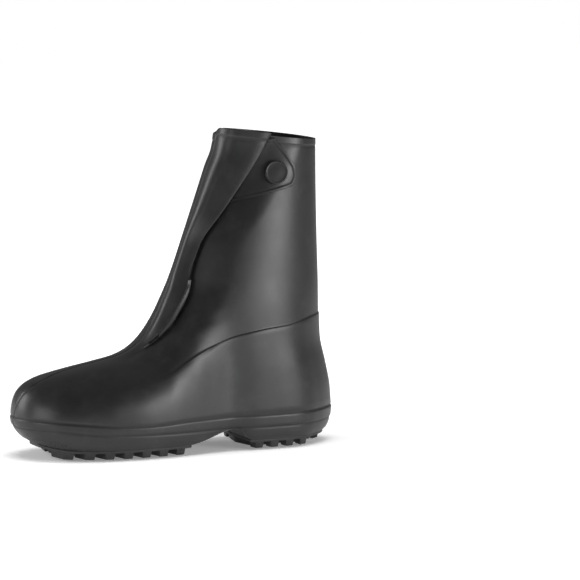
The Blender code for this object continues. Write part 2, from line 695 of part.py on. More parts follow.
def build_tread(name, spec, rubber):
    """One tread: its plate with side lugs, chevron bars and bosses as one solid, with stud sockets."""
    plate = bmesh.new()
    tread_plate(plate, spec["start"], spec["end"], spec["rounded_toe"], spec["steps"])
    obj = new_object(name, plate, rubber, 25.0)
    lugs, bosses, bars = bmesh.new(), bmesh.new(), bmesh.new()
    studs, holes = [], []
    for x, side, number in lug_places(spec["lugs"]):
        outline = side_lug(x, side, *spec["lug_size"])
        prism(lugs, outline)
        centre = tuple(np.mean(outline(0.0), axis=0))
        if number in spec["stud_lugs"]:
            studs.append(centre)
        if number in spec["hole_lugs"]:
            holes.append(centre)
    for forward, offset, studded in spec["bosses"]:
        place = (HEEL - forward * LENGTH, offset * WIDTH)
        prism(bosses, boss(*place))
        (studs if studded else holes).append(place)
    for row in spec["bars"]:
        prism(bars, chevron(*row))
    for kind, blocks in (("lugs", lugs), ("bosses", bosses), ("bars", bars)):
        cut(obj, new_object(f"{name}_{kind}", blocks, None), "UNION")
    sockets = bmesh.new()
    for x, y in studs + holes:
        radius = STUD_DIAMETER / 2 + GAP
        turned(sockets, [(-STUD_LENGTH, radius), (SOCKET_TOP, radius)], (x, y, 0.0), (0, 0, 1), STUD_SIDES)
    cut(obj, new_object(name + "_sockets", sockets, None), "DIFFERENCE")
    return studs


def build_studs(places, steel):
    """Carbide-tipped studs, each in its own socket, with its tip on the ground."""
    for number, (x, y) in enumerate(places, start=1):
        bm = bmesh.new()
        profile = [(0.0, STUD_TIP_DIAMETER / 2), (POINT_LENGTH, STUD_DIAMETER / 2),
                   (STUD_LENGTH, STUD_DIAMETER / 2)]
        turned(bm, profile, (x, y, 0.0), (0, 0, 1), STUD_SIDES)
        new_object(f"stud_{number:02d}", bm, steel)


def main():
    for obj in list(bpy.data.objects):
        bpy.data.objects.remove(obj, do_unlink=True)
    rubber = material("black_rubber", (0.022, 0.022, 0.023), 0.45, 0.0)
    tread_rubber = material("tread_rubber", (0.026, 0.026, 0.027), 0.60, 0.0)
    steel = material("stud_steel", (0.62, 0.62, 0.64), 0.30, 1.0)
    build_upper(rubber)
    build_tab(rubber)
    build_button(rubber)
    toe_edge = float(sole_edge(1)[0][0])
    heel_edge = float(sole_edge(1)[0][-1])
    forefoot = {
        "start": toe_edge + TREAD_START, "end": HEEL - FOREFOOT_END * LENGTH, "rounded_toe": True,
        "steps": 22, "lugs": FOREFOOT_LUGS, "lug_size": (LUG_LENGTH, LUG_REACH, LUG_SLANT),
        "stud_lugs": FOREFOOT_STUD_LUGS, "hole_lugs": (), "bosses": FOREFOOT_BOSSES, "bars": FOREFOOT_BARS,
    }
    heel = {
        "start": HEEL - HEEL_BREAST * LENGTH, "end": heel_edge - TREAD_START, "rounded_toe": False,
        "steps": 16, "lugs": HEEL_LUGS, "lug_size": (HEEL_LUG_LENGTH, HEEL_LUG_REACH, HEEL_LUG_SLANT),
        "stud_lugs": HEEL_STUD_LUGS, "hole_lugs": HEEL_HOLE_LUGS, "bosses": HEEL_BOSSES, "bars": HEEL_BARS,
    }
    places = build_tread("forefoot_tread", forefoot, tread_rubber)
    places += build_tread("heel_tread", heel, tread_rubber)
    build_studs(places, steel)
    bulge = column(PLAN, PLAN_COLUMNS, "lateral").max() - column(PLAN, PLAN_COLUMNS, "medial").max()
    for obj in bpy.data.objects:
        obj.location.y = WIDTH * bulge / 2


main()
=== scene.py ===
"""Black rubber ice overshoe with a buttoned fold-over shaft and a studded tread, on a pale studio floor.

Metres, +Z up. The toe points to -X and the lateral side, with the closure, to -Y.
"""
import math

import bmesh
import bpy
import numpy as np
from mathutils import Matrix, Vector


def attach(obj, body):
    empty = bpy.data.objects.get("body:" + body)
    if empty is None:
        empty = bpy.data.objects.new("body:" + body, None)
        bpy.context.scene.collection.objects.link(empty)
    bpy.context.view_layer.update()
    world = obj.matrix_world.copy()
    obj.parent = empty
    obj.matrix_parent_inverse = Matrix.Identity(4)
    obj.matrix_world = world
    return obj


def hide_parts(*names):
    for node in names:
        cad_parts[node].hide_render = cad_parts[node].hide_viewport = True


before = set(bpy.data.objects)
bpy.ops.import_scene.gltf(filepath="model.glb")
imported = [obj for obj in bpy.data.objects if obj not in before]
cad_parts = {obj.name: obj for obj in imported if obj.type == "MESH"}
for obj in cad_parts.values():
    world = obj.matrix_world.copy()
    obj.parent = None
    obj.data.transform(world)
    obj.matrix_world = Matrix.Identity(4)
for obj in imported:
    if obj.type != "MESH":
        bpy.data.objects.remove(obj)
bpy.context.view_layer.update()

# Sizes of the last that the rubber is moulded on, in metres.
LENGTH = 0.304
WIDTH = 0.110
HEIGHT = 0.2725
SHAFT_WIDTH = 0.084
WALL = 0.0016
GAP = 0.0003
STUD_PROUD = 0.0015
LUG_DEPTH = 0.0055
TREAD_PLATE = 0.0022
SHANK_RISE = 0.0105
SIDE_TUCK = 0.0038
TOE_TUCK = 0.0180
HEEL_TUCK = 0.0085
TOE_ROLL = 0.33
HEEL_ROLL = 0.22
TREAD_MARGIN = 0.0008
PLEAT_SPAN = 0.026
PLEAT_OVERLAP = 0.022
PANEL_RISE = 0.0026       # the front panel's rim stands this much above the rest,
RIM_START = 0.90          # and it climbs to there from this share of the front outline
RIM_CORNER = 0.0042       # the rim falls by this much to its front corner
RIM_CORNER_NEAR = (0.0, 0.017)   # between these lengths from the front mid line on the lateral side,
RIM_CORNER_FAR = (0.020, 0.042)  # and between these on the medial side
INSTEP = 0.45             # the foot's crown fades out from this share of LENGTH
FOOT_CROWN = 2.2          # exponent of the foot's domed cross section,
SHAFT_OVAL = 2.1          # and of the shaft's oval one
ANKLE = (0.26, 0.56)      # the foot goes over into the shaft between these shares of HEIGHT
FOLD_RADIUS = 0.0021
FOLD_SLOT = 0.0036
FOLD_OPENING = 0.0044     # the fold's two bends part over this much overlap
BEND_LIMIT = 0.32         # half of a bend is at most this long, in the fold's own even parameter
BEND_SHARE = 0.75         # and otherwise this share of what a round bend would take
STRIP_SHARE = 0.62        # half of the fold's strip is at most this share of the way round to its middle
SPACED = 0.42             # from this share of the front outline on, the points are spaced by the fold alone
PANEL_DOME = 0.0036       # the front panel swells by this much before it rolls in at the fold
DOME_START = -0.76        # where it begins to fall again, in the fold's own even parameter
PANEL_START = 0.55        # the front panel comes off the wall within this share of its width
VALLEY_DEPTH = 0.0045
VALLEY_LENGTH = 0.038
TAB_THICKNESS = 0.0018
TAB_REST = 0.0006
TAB_TUCK = 0.0012
BUTTON_DIAMETER = 0.0208
BUTTON_THICKNESS = 0.0034
BUTTON_LIFT = 0.0010
NECK_DIAMETER = 0.0060
LUG_LENGTH = 0.0128
LUG_REACH = 0.0185
LUG_SLANT = 0.0036
HEEL_LUG_LENGTH = 0.0103
HEEL_LUG_REACH = 0.0110
HEEL_LUG_SLANT = 0.0016
LUG_TAPER = 0.0010
LUG_ROUND = 0.0007        # rounding of a lug's and a plate's edges
LUG_RIM = 0.0032          # wall round the hollow of a hollow lug
BOSS_RIM = 0.0016         # and of a hollow boss
BOSS_STEP = 0.0014        # ring round a boss's dished face
BOSS_DISH = 0.0006        # depth of the dish that the stud stands in
BAR_WIDTH = 0.0074
BOSS_DIAMETER = 0.0106
ROOT = 0.0006
SOLE_INSET = 0.0004
STUD_DIAMETER = 0.0030
STUD_TIP_DIAMETER = 0.0018
STUD_LENGTH = 0.0066
SOLE_LEVEL = STUD_PROUD + LUG_DEPTH + TREAD_PLATE + GAP
TOE, HEEL = -LENGTH / 2, LENGTH / 2


def table(columns, rows):
    """A table's columns by name, as arrays."""
    return dict(zip(columns, np.array(rows, float).T))


# Side outline of the last. back and forward are shares of LENGTH, height is a share of HEIGHT.
FRONT = table(("back", "height"), (
    (0.000, 0.130), (0.004, 0.174), (0.018, 0.216), (0.046, 0.245), (0.088, 0.264), (0.138, 0.277),
    (0.197, 0.290), (0.260, 0.303), (0.318, 0.318), (0.358, 0.337), (0.391, 0.364), (0.418, 0.400),
    (0.440, 0.442), (0.466, 0.503), (0.500, 0.595), (0.534, 0.700), (0.569, 0.810), (0.602, 0.915),
    (0.622, 0.975), (0.632, 1.040),
))
BACK = table(("forward", "height"), (
    (0.000, 0.120), (0.004, 0.180), (0.018, 0.260), (0.036, 0.350), (0.041, 0.440), (0.044, 0.540),
    (0.049, 0.700), (0.052, 0.850), (0.054, 1.000),
))
# Footprint, as shares of LENGTH and WIDTH.
PLAN = table(("back", "lateral", "medial"), (
    (0.000, 0.000, 0.000), (0.020, 0.205, 0.200), (0.055, 0.315, 0.305), (0.100, 0.400, 0.390),
    (0.170, 0.472, 0.445), (0.260, 0.518, 0.475), (0.330, 0.528, 0.482), (0.420, 0.508, 0.473),
    (0.500, 0.464, 0.443), (0.570, 0.420, 0.405), (0.630, 0.395, 0.385), (0.720, 0.410, 0.405),
    (0.790, 0.405, 0.402), (0.845, 0.385, 0.382), (0.885, 0.345, 0.342), (0.930, 0.262, 0.260),
    (0.975, 0.145, 0.143), (1.000, 0.000, 0.000),
))
# Half width of the shaft as a share of SHAFT_WIDTH.
SHAFT = table(("height", "half"), (
    (0.260, 0.520), (0.440, 0.525), (0.600, 0.505), (0.780, 0.480), (0.900, 0.462), (1.030, 0.455),
))
# Underside: rise as a share of SHANK_RISE.
SOLE = table(("back", "rise"), (
    (0.000, 0.900), (0.060, 0.380), (0.100, 0.120), (0.135, 0.000), (0.485, 0.000), (0.530, 0.200),
    (0.600, 0.800), (0.640, 1.000), (0.655, 0.950), (0.680, 0.120), (0.695, 0.000), (1.000, 0.000),
))
# Where the moulded sections start on the front outline and end on the back one.
SECTIONS = table(("front", "back"), ((0.000, 0.000), (0.330, 0.270), (0.480, 0.360), (1.000, 1.000)))
# The shaft's overlap: place of the fold's edge round the lateral side, and overlap, slot and relief shares.
PLEAT = table(("front", "place", "overlap", "slot", "relief"), (
    (0.290, 0.030, -1.000, 0.300, 0.000), (0.360, 0.055, -0.700, 0.300, 0.180),
    (0.430, 0.100, -0.350, 0.300, 0.520), (0.500, 0.140, 0.020, 0.300, 0.900),
    (0.570, 0.158, 0.120, 0.400, 1.000), (0.630, 0.140, 0.160, 0.400, 1.000),
    (0.690, 0.150, 0.220, 0.450, 1.000), (0.780, 0.230, 0.420, 0.900, 1.000),
    (0.880, 0.325, 0.700, 1.000, 1.000), (1.000, 0.440, 1.000, 1.000, 1.000),
))
FRONT_STEPS, STRIP_STEPS, REAR_STEPS = 20, 60, 42
HALF_STEPS = FRONT_STEPS + STRIP_STEPS + REAR_STEPS
END_CROWDING = 0.72
SHARES = np.linspace(0.0, 1.0, HALF_STEPS + 1)
EVEN = SHARES - END_CROWDING * np.sin(2 * math.pi * SHARES) / (2 * math.pi)
FINE_LEVELS = 320         # sections from the widest level to the rim,
FINE_ROLLS = 70           # and from there down to the underside, that the rows of points are taken from
LEVELS = 172              # rows of points from the underside to the rim
LINE_ROWS = (9, 18, 42)   # rows at the side band's lower and upper line and at the thicker foot's edge
LINE_SPREAD = (-0.0013, -0.00045, 0.00045, 0.0013)   # four rows across each of these lines
RIM_ROWS = (0.0080, 0.0070, 0.0062, 0.0054, 0.0036, 0.0016, 0.0008, 0.0004)   # and rows below the rim
SOLE_LEVELS = 14          # and across the underside to its mid line
SOLE_CROWDING = 1.6       # these draw together towards the mid line
SHANK_SHADE = 0.8          # darkness of the painted shade line along the middle of the shank
TOE_GRIT = (0.030, 0.045)   # the toe bumper's underside is gritted up to here behind the toe,
TOE_GRIT_TOP = (0.0165, 0.0185)   # and up to this height


def blend(x, xs, ys):
    """Smooth curve through a table's points that never overshoots them."""
    xs, ys = np.asarray(xs, float), np.asarray(ys, float)
    h, d = np.diff(xs), np.diff(ys) / np.diff(xs)
    m = np.zeros(len(xs))
    same = d[:-1] * d[1:] > 0
    w1, w2 = 2 * h[1:] + h[:-1], h[1:] + 2 * h[:-1]
    safe = np.where(same, d[:-1], 1.0), np.where(same, d[1:], 1.0)
    m[1:-1] = np.where(same, (w1 + w2) / (w1 / safe[0] + w2 / safe[1]), 0.0)
    m[0], m[-1] = d[0], d[-1]
    x = np.clip(np.asarray(x, float), xs[0], xs[-1])
    i = np.clip(np.searchsorted(xs, x) - 1, 0, len(h) - 1)
    t = (x - xs[i]) / h[i]
    a, b = (1 + 2 * t) * (1 - t) ** 2, t * t * (3 - 2 * t)
    return a * ys[i] + t * (1 - t) ** 2 * h[i] * m[i] + b * ys[i + 1] - t * t * (1 - t) * h[i] * m[i + 1]


def step(x, low, high):
    """Smooth change from 0 at low to 1 at high."""
    t = np.clip((x - low) / (high - low), 0.0, 1.0)
    return t * t * (3 - 2 * t)


def hump(x, middle, half_width):
    """Soft hump of height 1 about a place."""
    return np.exp(-((x - middle) / half_width) ** 2)


def along(xs, ys, share):
    """Point at a share of the length of a polyline."""
    run = np.concatenate([[0.0], np.cumsum(np.hypot(np.diff(xs), np.diff(ys)))])
    at = np.asarray(share) * run[-1]
    return np.interp(at, run, xs), np.interp(at, run, ys)


def run_length(points):
    """Length from the first point to each point."""
    return np.concatenate([[0.0], np.cumsum(np.linalg.norm(np.diff(points, axis=0), axis=1))])


def between(points, run, at):
    """Points at given lengths along a row of points."""
    return np.stack([np.interp(at, run, points[:, axis]) for axis in range(3)], 1)


def side_line(xs, zs):
    """A side outline's few points as a smooth line of many."""
    at = np.linspace(0.0, 1.0, 400) * (len(xs) - 1)
    return blend(at, range(len(xs)), xs), blend(at, range(len(xs)), zs)


FRONT_X, FRONT_Z = TOE + FRONT["back"] * LENGTH, FRONT["height"] * HEIGHT
BACK_X, BACK_Z = HEEL - BACK["forward"] * LENGTH, BACK["height"] * HEIGHT
FRONT_RUN, BACK_RUN = side_line(FRONT_X, FRONT_Z), side_line(BACK_X, BACK_Z)
ACROSS = WIDTH * (PLAN["lateral"].max() - PLAN["medial"].max()) / 2


def plan_half(x, side):
    """Half width of the footprint at its widest level."""
    share = np.clip((x - TOE) / LENGTH, 0.0, 1.0)
    return WIDTH * blend(np.arccos(1 - 2 * share), np.arccos(1 - 2 * PLAN["back"]), PLAN[side])


def sole_level(x):
    """Height of the underside that the tread is moulded on."""
    return SOLE_LEVEL + SHANK_RISE * blend((x - TOE) / LENGTH, SOLE["back"], SOLE["rise"])


def wall_half(x, z, side):
    """Half width of the last at a place of its side view: a domed foot that goes over into an oval shaft."""
    back = np.interp(z, BACK_RUN[1], BACK_RUN[0])
    front = np.interp(z, FRONT_RUN[1], FRONT_RUN[0])
    crest = np.interp(x, *FRONT_RUN)
    widest = np.interp(x, [TOE, HEEL], [FRONT_Z[0], BACK_Z[0]])
    dome = np.clip((z - widest) / np.maximum(crest - widest, 1e-6), 0.0, 1.0)
    dome = dome * (1 - step(x, TOE + INSTEP * LENGTH, FRONT_X[-1]))
    crown = (1 - dome ** FOOT_CROWN) ** (1 / FOOT_CROWN)
    foot = plan_half(x + (HEEL - back) * step(x, 0.0, back), side) * crown
    half = SHAFT_WIDTH * blend(z / HEIGHT, SHAFT["height"], SHAFT["half"])
    reach = np.clip(np.abs(2 * x - front - back) / (back - front), 0.0, 1.0)
    shaft = half * (1 - reach ** SHAFT_OVAL) ** (1 / SHAFT_OVAL)
    return foot + (shaft - foot) * step(z, ANKLE[0] * HEIGHT, ANKLE[1] * HEIGHT)


def half_section(front_share, back_share, side, count=300):
    """Points of one side of a section, from the front to the back."""
    front_x, front_z = along(*FRONT_RUN, front_share)
    back_x, back_z = along(*BACK_RUN, back_share)
    t = (1 - np.cos(np.linspace(0.0, math.pi, count))) / 2
    x = front_x + (back_x - front_x) * t
    z = front_z + (back_z - front_z) * t
    y = wall_half(x, z, side) * (-1 if side == "lateral" else 1)
    y[0] = y[-1] = 0.0
    return np.stack([x, y, z], 1)


def back_share(front_share):
    """Where a section that starts at a share of the front outline ends on the back one."""
    return float(np.interp(front_share, SECTIONS["front"], SECTIONS["back"]))


def pleat_row(front_share):
    """The overlap's values at a section: place, overlap, slot and relief."""
    return [float(blend(front_share, PLEAT["front"], values)) for values in list(PLEAT.values())[1:]]


def fold_path(span, overlap, slot, count):
    """The rubber's way through the fold: place, stand-off, and 1 on the front panel."""
    if overlap < 0:
        edge, wave = 0.0, (1 + overlap / PLEAT_OVERLAP) * span / math.pi
    else:
        turns = np.linspace(0.0, 1.45, 300)
        turn = float(np.interp(math.pi * overlap / (2 * span), np.tan(turns) - turns, turns))
        edge, wave = turn / math.pi, span / (math.pi * math.cos(turn))
    pull = wave * math.pi ** 2 * math.sin(math.pi * edge)
    roll, tuck = [min(BEND_LIMIT, BEND_SHARE * math.sqrt(2 * fall / max(pull, 1e-6)))
                  for fall in (2 * FOLD_RADIUS, slot)]
    fine = np.linspace(-1.0, 1.0, 1200)
    place = span * fine - wave * np.sin(math.pi * fine)
    edge = edge * step(overlap, 0.0, FOLD_OPENING)
    rise = 2 * FOLD_RADIUS * (1 - step(fine, -edge - roll, -edge + roll))
    drop = slot * (1 - step(fine, edge - tuck, edge + tuck))
    panel = rise / (2 * FOLD_RADIUS)
    dome = PANEL_DOME * np.clip(overlap / PLEAT_OVERLAP, 0.0, 1.0)
    rise = rise + dome * (1 - step(fine, DOME_START, -edge))
    run = run_length(np.stack([place, rise + drop], 1))
    even = np.interp(np.linspace(0.0, run[-1], count), run, fine)
    return [np.interp(even, fine, curve) for curve in (place, rise + drop, panel)]


def offset_points(points, at, stand_off):
    """Points at given lengths along a half section, moved out by their stand-off in the section's plane."""
    run = run_length(points)
    tangent = np.gradient(points, run, axis=0)
    plane = np.cross(points[-1] - points[0], [0.0, 1.0, 0.0])
    normal = np.cross(tangent, plane)
    normal /= np.linalg.norm(normal, axis=1)[:, None]
    if normal[len(normal) // 2, 1] * points[len(points) // 2, 1] < 0:
        normal = -normal
    return between(points, run, at) + between(normal, run, at) * np.asarray(stand_off)[:, None]


def overlap_strip(front_share, length):
    """The fold's edge, the middle of the overlap and half of the strip that it takes in, as lengths."""
    place, overlap = pleat_row(front_share)[:2]
    edge = place * length
    centre = edge - max(overlap * PLEAT_OVERLAP, 0.0) / 2
    return edge, centre, min(PLEAT_SPAN, STRIP_SHARE * centre)


def valley(front_share, length, at):
    """Depth of the dip behind the fold at lengths along the lateral half section."""
    edge, centre, span = overlap_strip(front_share, length)
    dip = VALLEY_DEPTH * pleat_row(front_share)[3] * step(at, centre - span, centre)
    return dip * (1 - step(at, edge, edge + VALLEY_LENGTH))


def lateral_nodes(front_share, length):
    """Places along the lateral half section, stand-offs of the wall there, and 1 on the front panel."""
    _, overlap, slot, relief = pleat_row(front_share)
    slot = slot * FOLD_SLOT
    edge, centre, span = overlap_strip(front_share, length)
    strip, rise, front_panel = fold_path(span, overlap * PLEAT_OVERLAP, slot, STRIP_STEPS + 1)
    at = np.concatenate([np.linspace(0.0, centre - span, FRONT_STEPS + 1)[:-1], centre + strip,
                         np.linspace(centre + span, length, REAR_STEPS + 1)[1:]])
    off = np.concatenate([np.full(FRONT_STEPS, rise[0]), rise, np.zeros(REAR_STEPS)])
    off = off * np.sin(math.pi / 2 * np.clip(at / (PANEL_START * edge), 0.0, 1.0)) * relief
    off = off - valley(front_share, length, at)
    share = step(front_share, 0.0, SPACED)
    even = length * EVEN
    panel = np.concatenate([np.ones(FRONT_STEPS), front_panel, np.zeros(REAR_STEPS)])
    return even + (at - even) * share, off, panel


def rim_corner(front_share, at, rise):
    """How far the wall is drawn down towards the rim's front corner, at lengths from the front mid line."""
    return RIM_CORNER * (1 - step(at, *rise)) * step(front_share, RIM_START, 1.0)


def section(front_share):
    """Closed section of the wall: lateral side from front to back, then medial side back to the front."""
    lateral = half_section(front_share, back_share(front_share), "lateral")
    medial = half_section(front_share, back_share(front_share), "medial")
    at, off, front_panel = lateral_nodes(front_share, run_length(lateral)[-1])
    far_at = run_length(medial)[-1] * EVEN
    near = offset_points(lateral, at, off)
    far = offset_points(medial, far_at, np.zeros(HALF_STEPS + 1))
    rise = PANEL_RISE * step(front_share, RIM_START, 1.0) * front_panel
    near[:, 2] += rise * step(at, *RIM_CORNER_NEAR) - rim_corner(front_share, at, RIM_CORNER_NEAR)
    far[:, 2] -= rim_corner(front_share, far_at, RIM_CORNER_FAR)
    return np.concatenate([near, far[::-1][1:]])


def tucked(ring, turn):
    """The widest section rolled in under the foot by an angle, down to the underside."""
    roll, x = 1 - math.cos(turn), ring[:, 0]
    toe = TOE_TUCK * (1 - step(x, TOE, TOE + TOE_ROLL * LENGTH))
    heel = HEEL_TUCK * step(x, HEEL - HEEL_ROLL * LENGTH, HEEL)
    x = x + roll * (toe - heel)
    y = ring[:, 1] * (1 - roll * 2 * SIDE_TUCK / WIDTH)
    return np.column_stack([x, y, ring[:, 2] + (sole_level(x) - ring[:, 2]) * math.sin(turn)])


def laid_sheet(name, rows, **masks):
    """Sheet of rubber laid over rows of points: a flat grid, bent row by row into its place."""
    across, up = rows.shape[1] - 1, rows.shape[0] - 1
    bm = bmesh.new()
    bmesh.ops.create_grid(bm, x_segments=across, y_segments=up, size=0.5)
    bm.verts.ensure_lookup_table()
    for vert, place in zip(bm.verts, rows.reshape(-1, 3)):
        vert.co = place
    for label, mask in masks.items():
        layer = bm.verts.layers.float.new(label)
        for vert, value in zip(bm.verts, mask.reshape(-1)):
            vert[layer] = value
    bmesh.ops.remove_doubles(bm, verts=bm.verts, dist=1e-6)
    return finished(name, bm)


def linked(name, data):
    """Object in the scene that carries a mesh, a camera or a light."""
    thing = bpy.data.objects.new(name, data)
    bpy.context.collection.objects.link(thing)
    return thing


def finished(name, bm, smooth_angle=40.0):
    """Piece from a bmesh: faces out, smooth but for its sharp edges, moved across onto the frame."""
    bmesh.ops.dissolve_degenerate(bm, dist=1e-7, edges=bm.edges)
    bmesh.ops.recalc_face_normals(bm, faces=bm.faces)
    bmesh.ops.translate(bm, verts=bm.verts, vec=(0.0, ACROSS, 0.0))
    mesh = bpy.data.meshes.new(name)
    bm.to_mesh(mesh)
    bm.free()
    mesh.shade_smooth()
    mesh.set_sharp_from_angle(angle=math.radians(smooth_angle))
    return linked(name, mesh)


def outward(rows):
    """Unit normals of a closed sheet given as rows of points, pointing out of the boot."""
    round_way = np.roll(rows[:, :-1], -1, axis=1) - np.roll(rows[:, :-1], 1, axis=1)
    round_way = np.concatenate([round_way, round_way[:, :1]], axis=1)
    up_way = np.gradient(rows, axis=0)
    normal = np.cross(round_way, up_way)
    length = np.linalg.norm(normal, axis=2)
    return normal / np.maximum(length, 1e-12)[:, :, None]


# Moulded lines of the outside, in metres.
LINE_HALF = 0.0008        # half width of a moulded line
LINE_DEPTH = 0.0006
LOWER_LINE = 0.8          # the side band's lower line is this much of its upper one
BAND_RAISE = 0.0004       # the side band stands out between its two lines
VAMP_STEP = 0.0007        # the foot is thicker than the shaft by this much
VAMP_SOFT = 0.0008        # half of the step's slope
RIM_BAND = 0.0062         # rim band below the top edge
RIM_RAISE = 0.00025
RIM_LINE = 0.5            # the line under the rim band is this much of a moulded line
SKIN_INSET = 0.0008       # the skin lies this far inside the last's outline
PARTING_HALF = 0.0007
PARTING_DEPTH = 0.0006
# Parting line of the mould down the front and round the toe cap: height on the front outline as a share of
# HEIGHT, and how far it lies to the lateral side, in metres.
PARTING = table(("height", "aside"), (
    (0.060, -0.0060), (0.130, 0.0000), (0.151, 0.0020), (0.182, 0.0055), (0.211, 0.0090), (0.231, 0.0115),
    (0.259, 0.0110), (0.280, 0.0030), (0.300, 0.0000), (1.100, 0.0000),
))
# Upper and lower line of the side band: distance behind the toe as a share of LENGTH, and their levels as
# shares of HEIGHT.
BAND = table(("back", "upper", "lower"), (
    (0.000, 0.136, 0.103), (0.100, 0.129, 0.100), (0.175, 0.122, 0.092), (0.260, 0.113, 0.084),
    (0.360, 0.109, 0.081), (0.500, 0.115, 0.078), (0.700, 0.116, 0.076), (1.000, 0.117, 0.076),
))
# Edge of the thicker foot over the thinner shaft, in the same shares.
VAMP = table(("back", "height"), (
    (0.250, 0.228), (0.294, 0.234), (0.364, 0.248), (0.420, 0.267), (0.467, 0.298), (0.514, 0.328),
    (0.563, 0.350), (0.628, 0.374), (0.679, 0.386), (0.743, 0.397), (0.811, 0.404), (0.919, 0.423),
    (1.000, 0.430),
))
VAMP_START = (0.27, 0.37)    # the step grows to its full height between these shares of LENGTH
# Soft ridge of the front panel, and the crease that leaves the fold at the instep, in metres.
RIDGE = table(("height", "x"), (
    (0.145, -0.006), (0.160, -0.0005), (0.168, 0.0033), (0.184, 0.0112), (0.196, 0.0181), (0.222, 0.034),
))
RIDGE_HEIGHT = 0.0004
RIDGE_HALF = 0.0050
CREASE = table(("x", "height"), ((-0.010, 0.111), (0.013, 0.118), (0.045, 0.121)))
CREASE_DEPTH = 0.0005
CREASE_HALF = 0.0045


def level_at(x, lines, name):
    """Height of a moulded line at x."""
    return HEIGHT * blend((x - TOE) / LENGTH, lines["back"], lines[name])


def moulded_lines(rows, girth):
    """Stand-off of the moulded lines and bands over the wall, and a mask of the grooves, where the rubber's
    material paints shade.
    """
    x, y, z = rows[:, :, 0], rows[:, :, 1], rows[:, :, 2]
    top, low = level_at(x, BAND, "upper"), level_at(x, BAND, "lower")
    groove = np.maximum(hump(z, top, LINE_HALF), LOWER_LINE * hump(z, low, LINE_HALF))
    band = BAND_RAISE * step(z, low, low + LINE_HALF) * (1 - step(z, top - LINE_HALF, top))
    grown = step((x - TOE) / LENGTH, *VAMP_START)
    edge = level_at(x, VAMP, "height")
    shaft = -VAMP_STEP * grown * step(z, edge - VAMP_SOFT, edge + VAMP_SOFT)
    rim_level = rows[-1, :, 2][None, :] - RIM_BAND
    rim = RIM_RAISE * step(z, rim_level, rim_level + LINE_HALF)
    rim_line = hump(z, rim_level - LINE_HALF / 2, LINE_HALF)
    front_level = np.broadcast_to(z[:, :1] / HEIGHT, z.shape)
    parting = hump(girth, blend(front_level, PARTING["height"], PARTING["aside"]), PARTING_HALF)
    near = y < 0
    ridge = RIDGE_HEIGHT * hump(x, np.interp(z, RIDGE["height"], RIDGE["x"]), RIDGE_HALF) * near
    ridge = ridge * step(z, *RIDGE["height"][:2]) * (1 - step(z, *RIDGE["height"][-2:]))
    crease = CREASE_DEPTH * hump(z, np.interp(x, CREASE["x"], CREASE["height"]), CREASE_HALF) * near
    start, middle, end = CREASE["x"]
    crease = crease * step(x, start - CREASE_HALF, start) * (1 - step(x, middle, end))
    cut = np.maximum(groove, RIM_LINE * rim_line)
    relief = band + shaft + rim + ridge - crease - LINE_DEPTH * cut - PARTING_DEPTH * parting - SKIN_INSET
    return relief, np.clip(np.maximum(cut, parting), 0.0, 1.0)


def wall_rows():
    """Rows of points from the underside to the rim, four of them along each moulded line of the side."""
    rings = [section(share) for share in np.linspace(0.0, 1.0, FINE_LEVELS + 1)]
    rolled = [tucked(rings[0], turn) for turn in np.linspace(math.pi / 2, 0.0, FINE_ROLLS + 1)[:-1]]
    dense = np.array(rolled + rings)
    x, z = dense[:, :, 0], dense[:, :, 2]
    lines = level_at(x, BAND, "lower"), level_at(x, BAND, "upper"), level_at(x, VAMP, "height")
    knots = [0, *[first + k for first in LINE_ROWS for k in range(4)],
             *range(LEVELS - len(RIM_ROWS) + 1, LEVELS + 1)]
    rows = np.empty((LEVELS + 1, dense.shape[1], 3))
    for k in range(dense.shape[1]):
        run = run_length(dense[:, k])
        places = [0.0]
        for line in lines:
            crossing = np.interp(0.0, np.maximum.accumulate(z[:, k] - line[:, k]), run)
            places += [crossing + spread for spread in LINE_SPREAD]
        places += [run[-1] - below for below in RIM_ROWS]
        at = np.interp(np.arange(LEVELS + 1), knots, np.maximum.accumulate(places))
        rows[:, k] = between(dense[:, k], run, at)
    return rows


def build_overshoe():
    """The moulded rubber overshoe: foot, shaft and overlap as one sheet, then the wall's thickness."""
    side = wall_rows()
    sole = []
    for k in range(SOLE_LEVELS):
        flat = side[0].copy()
        flat[:, 1] *= (k / SOLE_LEVELS) ** SOLE_CROWDING
        sole.append(flat)
    rows = np.concatenate([sole, side])
    girth = np.array([run_length(row) for row in rows])
    half = girth.shape[1] // 2
    girth[:, half + 1:] -= girth[:, -1:]
    girth[:SOLE_LEVELS] = 1.0
    relief, lines = moulded_lines(rows, girth)
    relief[:SOLE_LEVELS + 1] = 0.0
    # painted shade: a dark line along the middle of the underside, which has no relief
    lines[:SOLE_LEVELS + 1] = SHANK_SHADE * hump(rows[:SOLE_LEVELS + 1, :, 1], 0.0, LINE_HALF)
    rows = rows + outward(rows) * relief[:, :, None]
    rows[:, -1] = rows[:, 0]
    grit = (1 - step(rows[:, :, 2], *TOE_GRIT_TOP)) * (1 - step(rows[:, :, 0] - TOE, *TOE_GRIT))
    grit[:SOLE_LEVELS] = 0.0
    piece = laid_sheet("overshoe", rows, groove=lines, grit=grit)
    wall = piece.modifiers.new("wall", "SOLIDIFY")
    wall.thickness = WALL
    wall.offset = -1.0
    wall.use_quality_normals = True
    return piece


# Outline of the closure tab, and the stretch of the fold that it comes out of, as shares of the sections.
TAB = table(("front", "place"), (
    (0.856, 0.575), (0.864, 0.612), (0.890, 0.632), (0.920, 0.610), (0.956, 0.545), (0.995, 0.456),
))
TAB_ROOT = (0.812, 0.990)
TAB_ROWS, TAB_STEPS = 56, 44
TAB_BEAD = 0.0005         # raised bead along the tab's free edges
TAB_BEAD_WIDTH = 0.0022
TAB_ROUND = 0.0009
BUTTON_SEAT = (0.898, 0.492)
SEAT_STEP = 0.03          # the wall's slope under the button is taken over this share each way


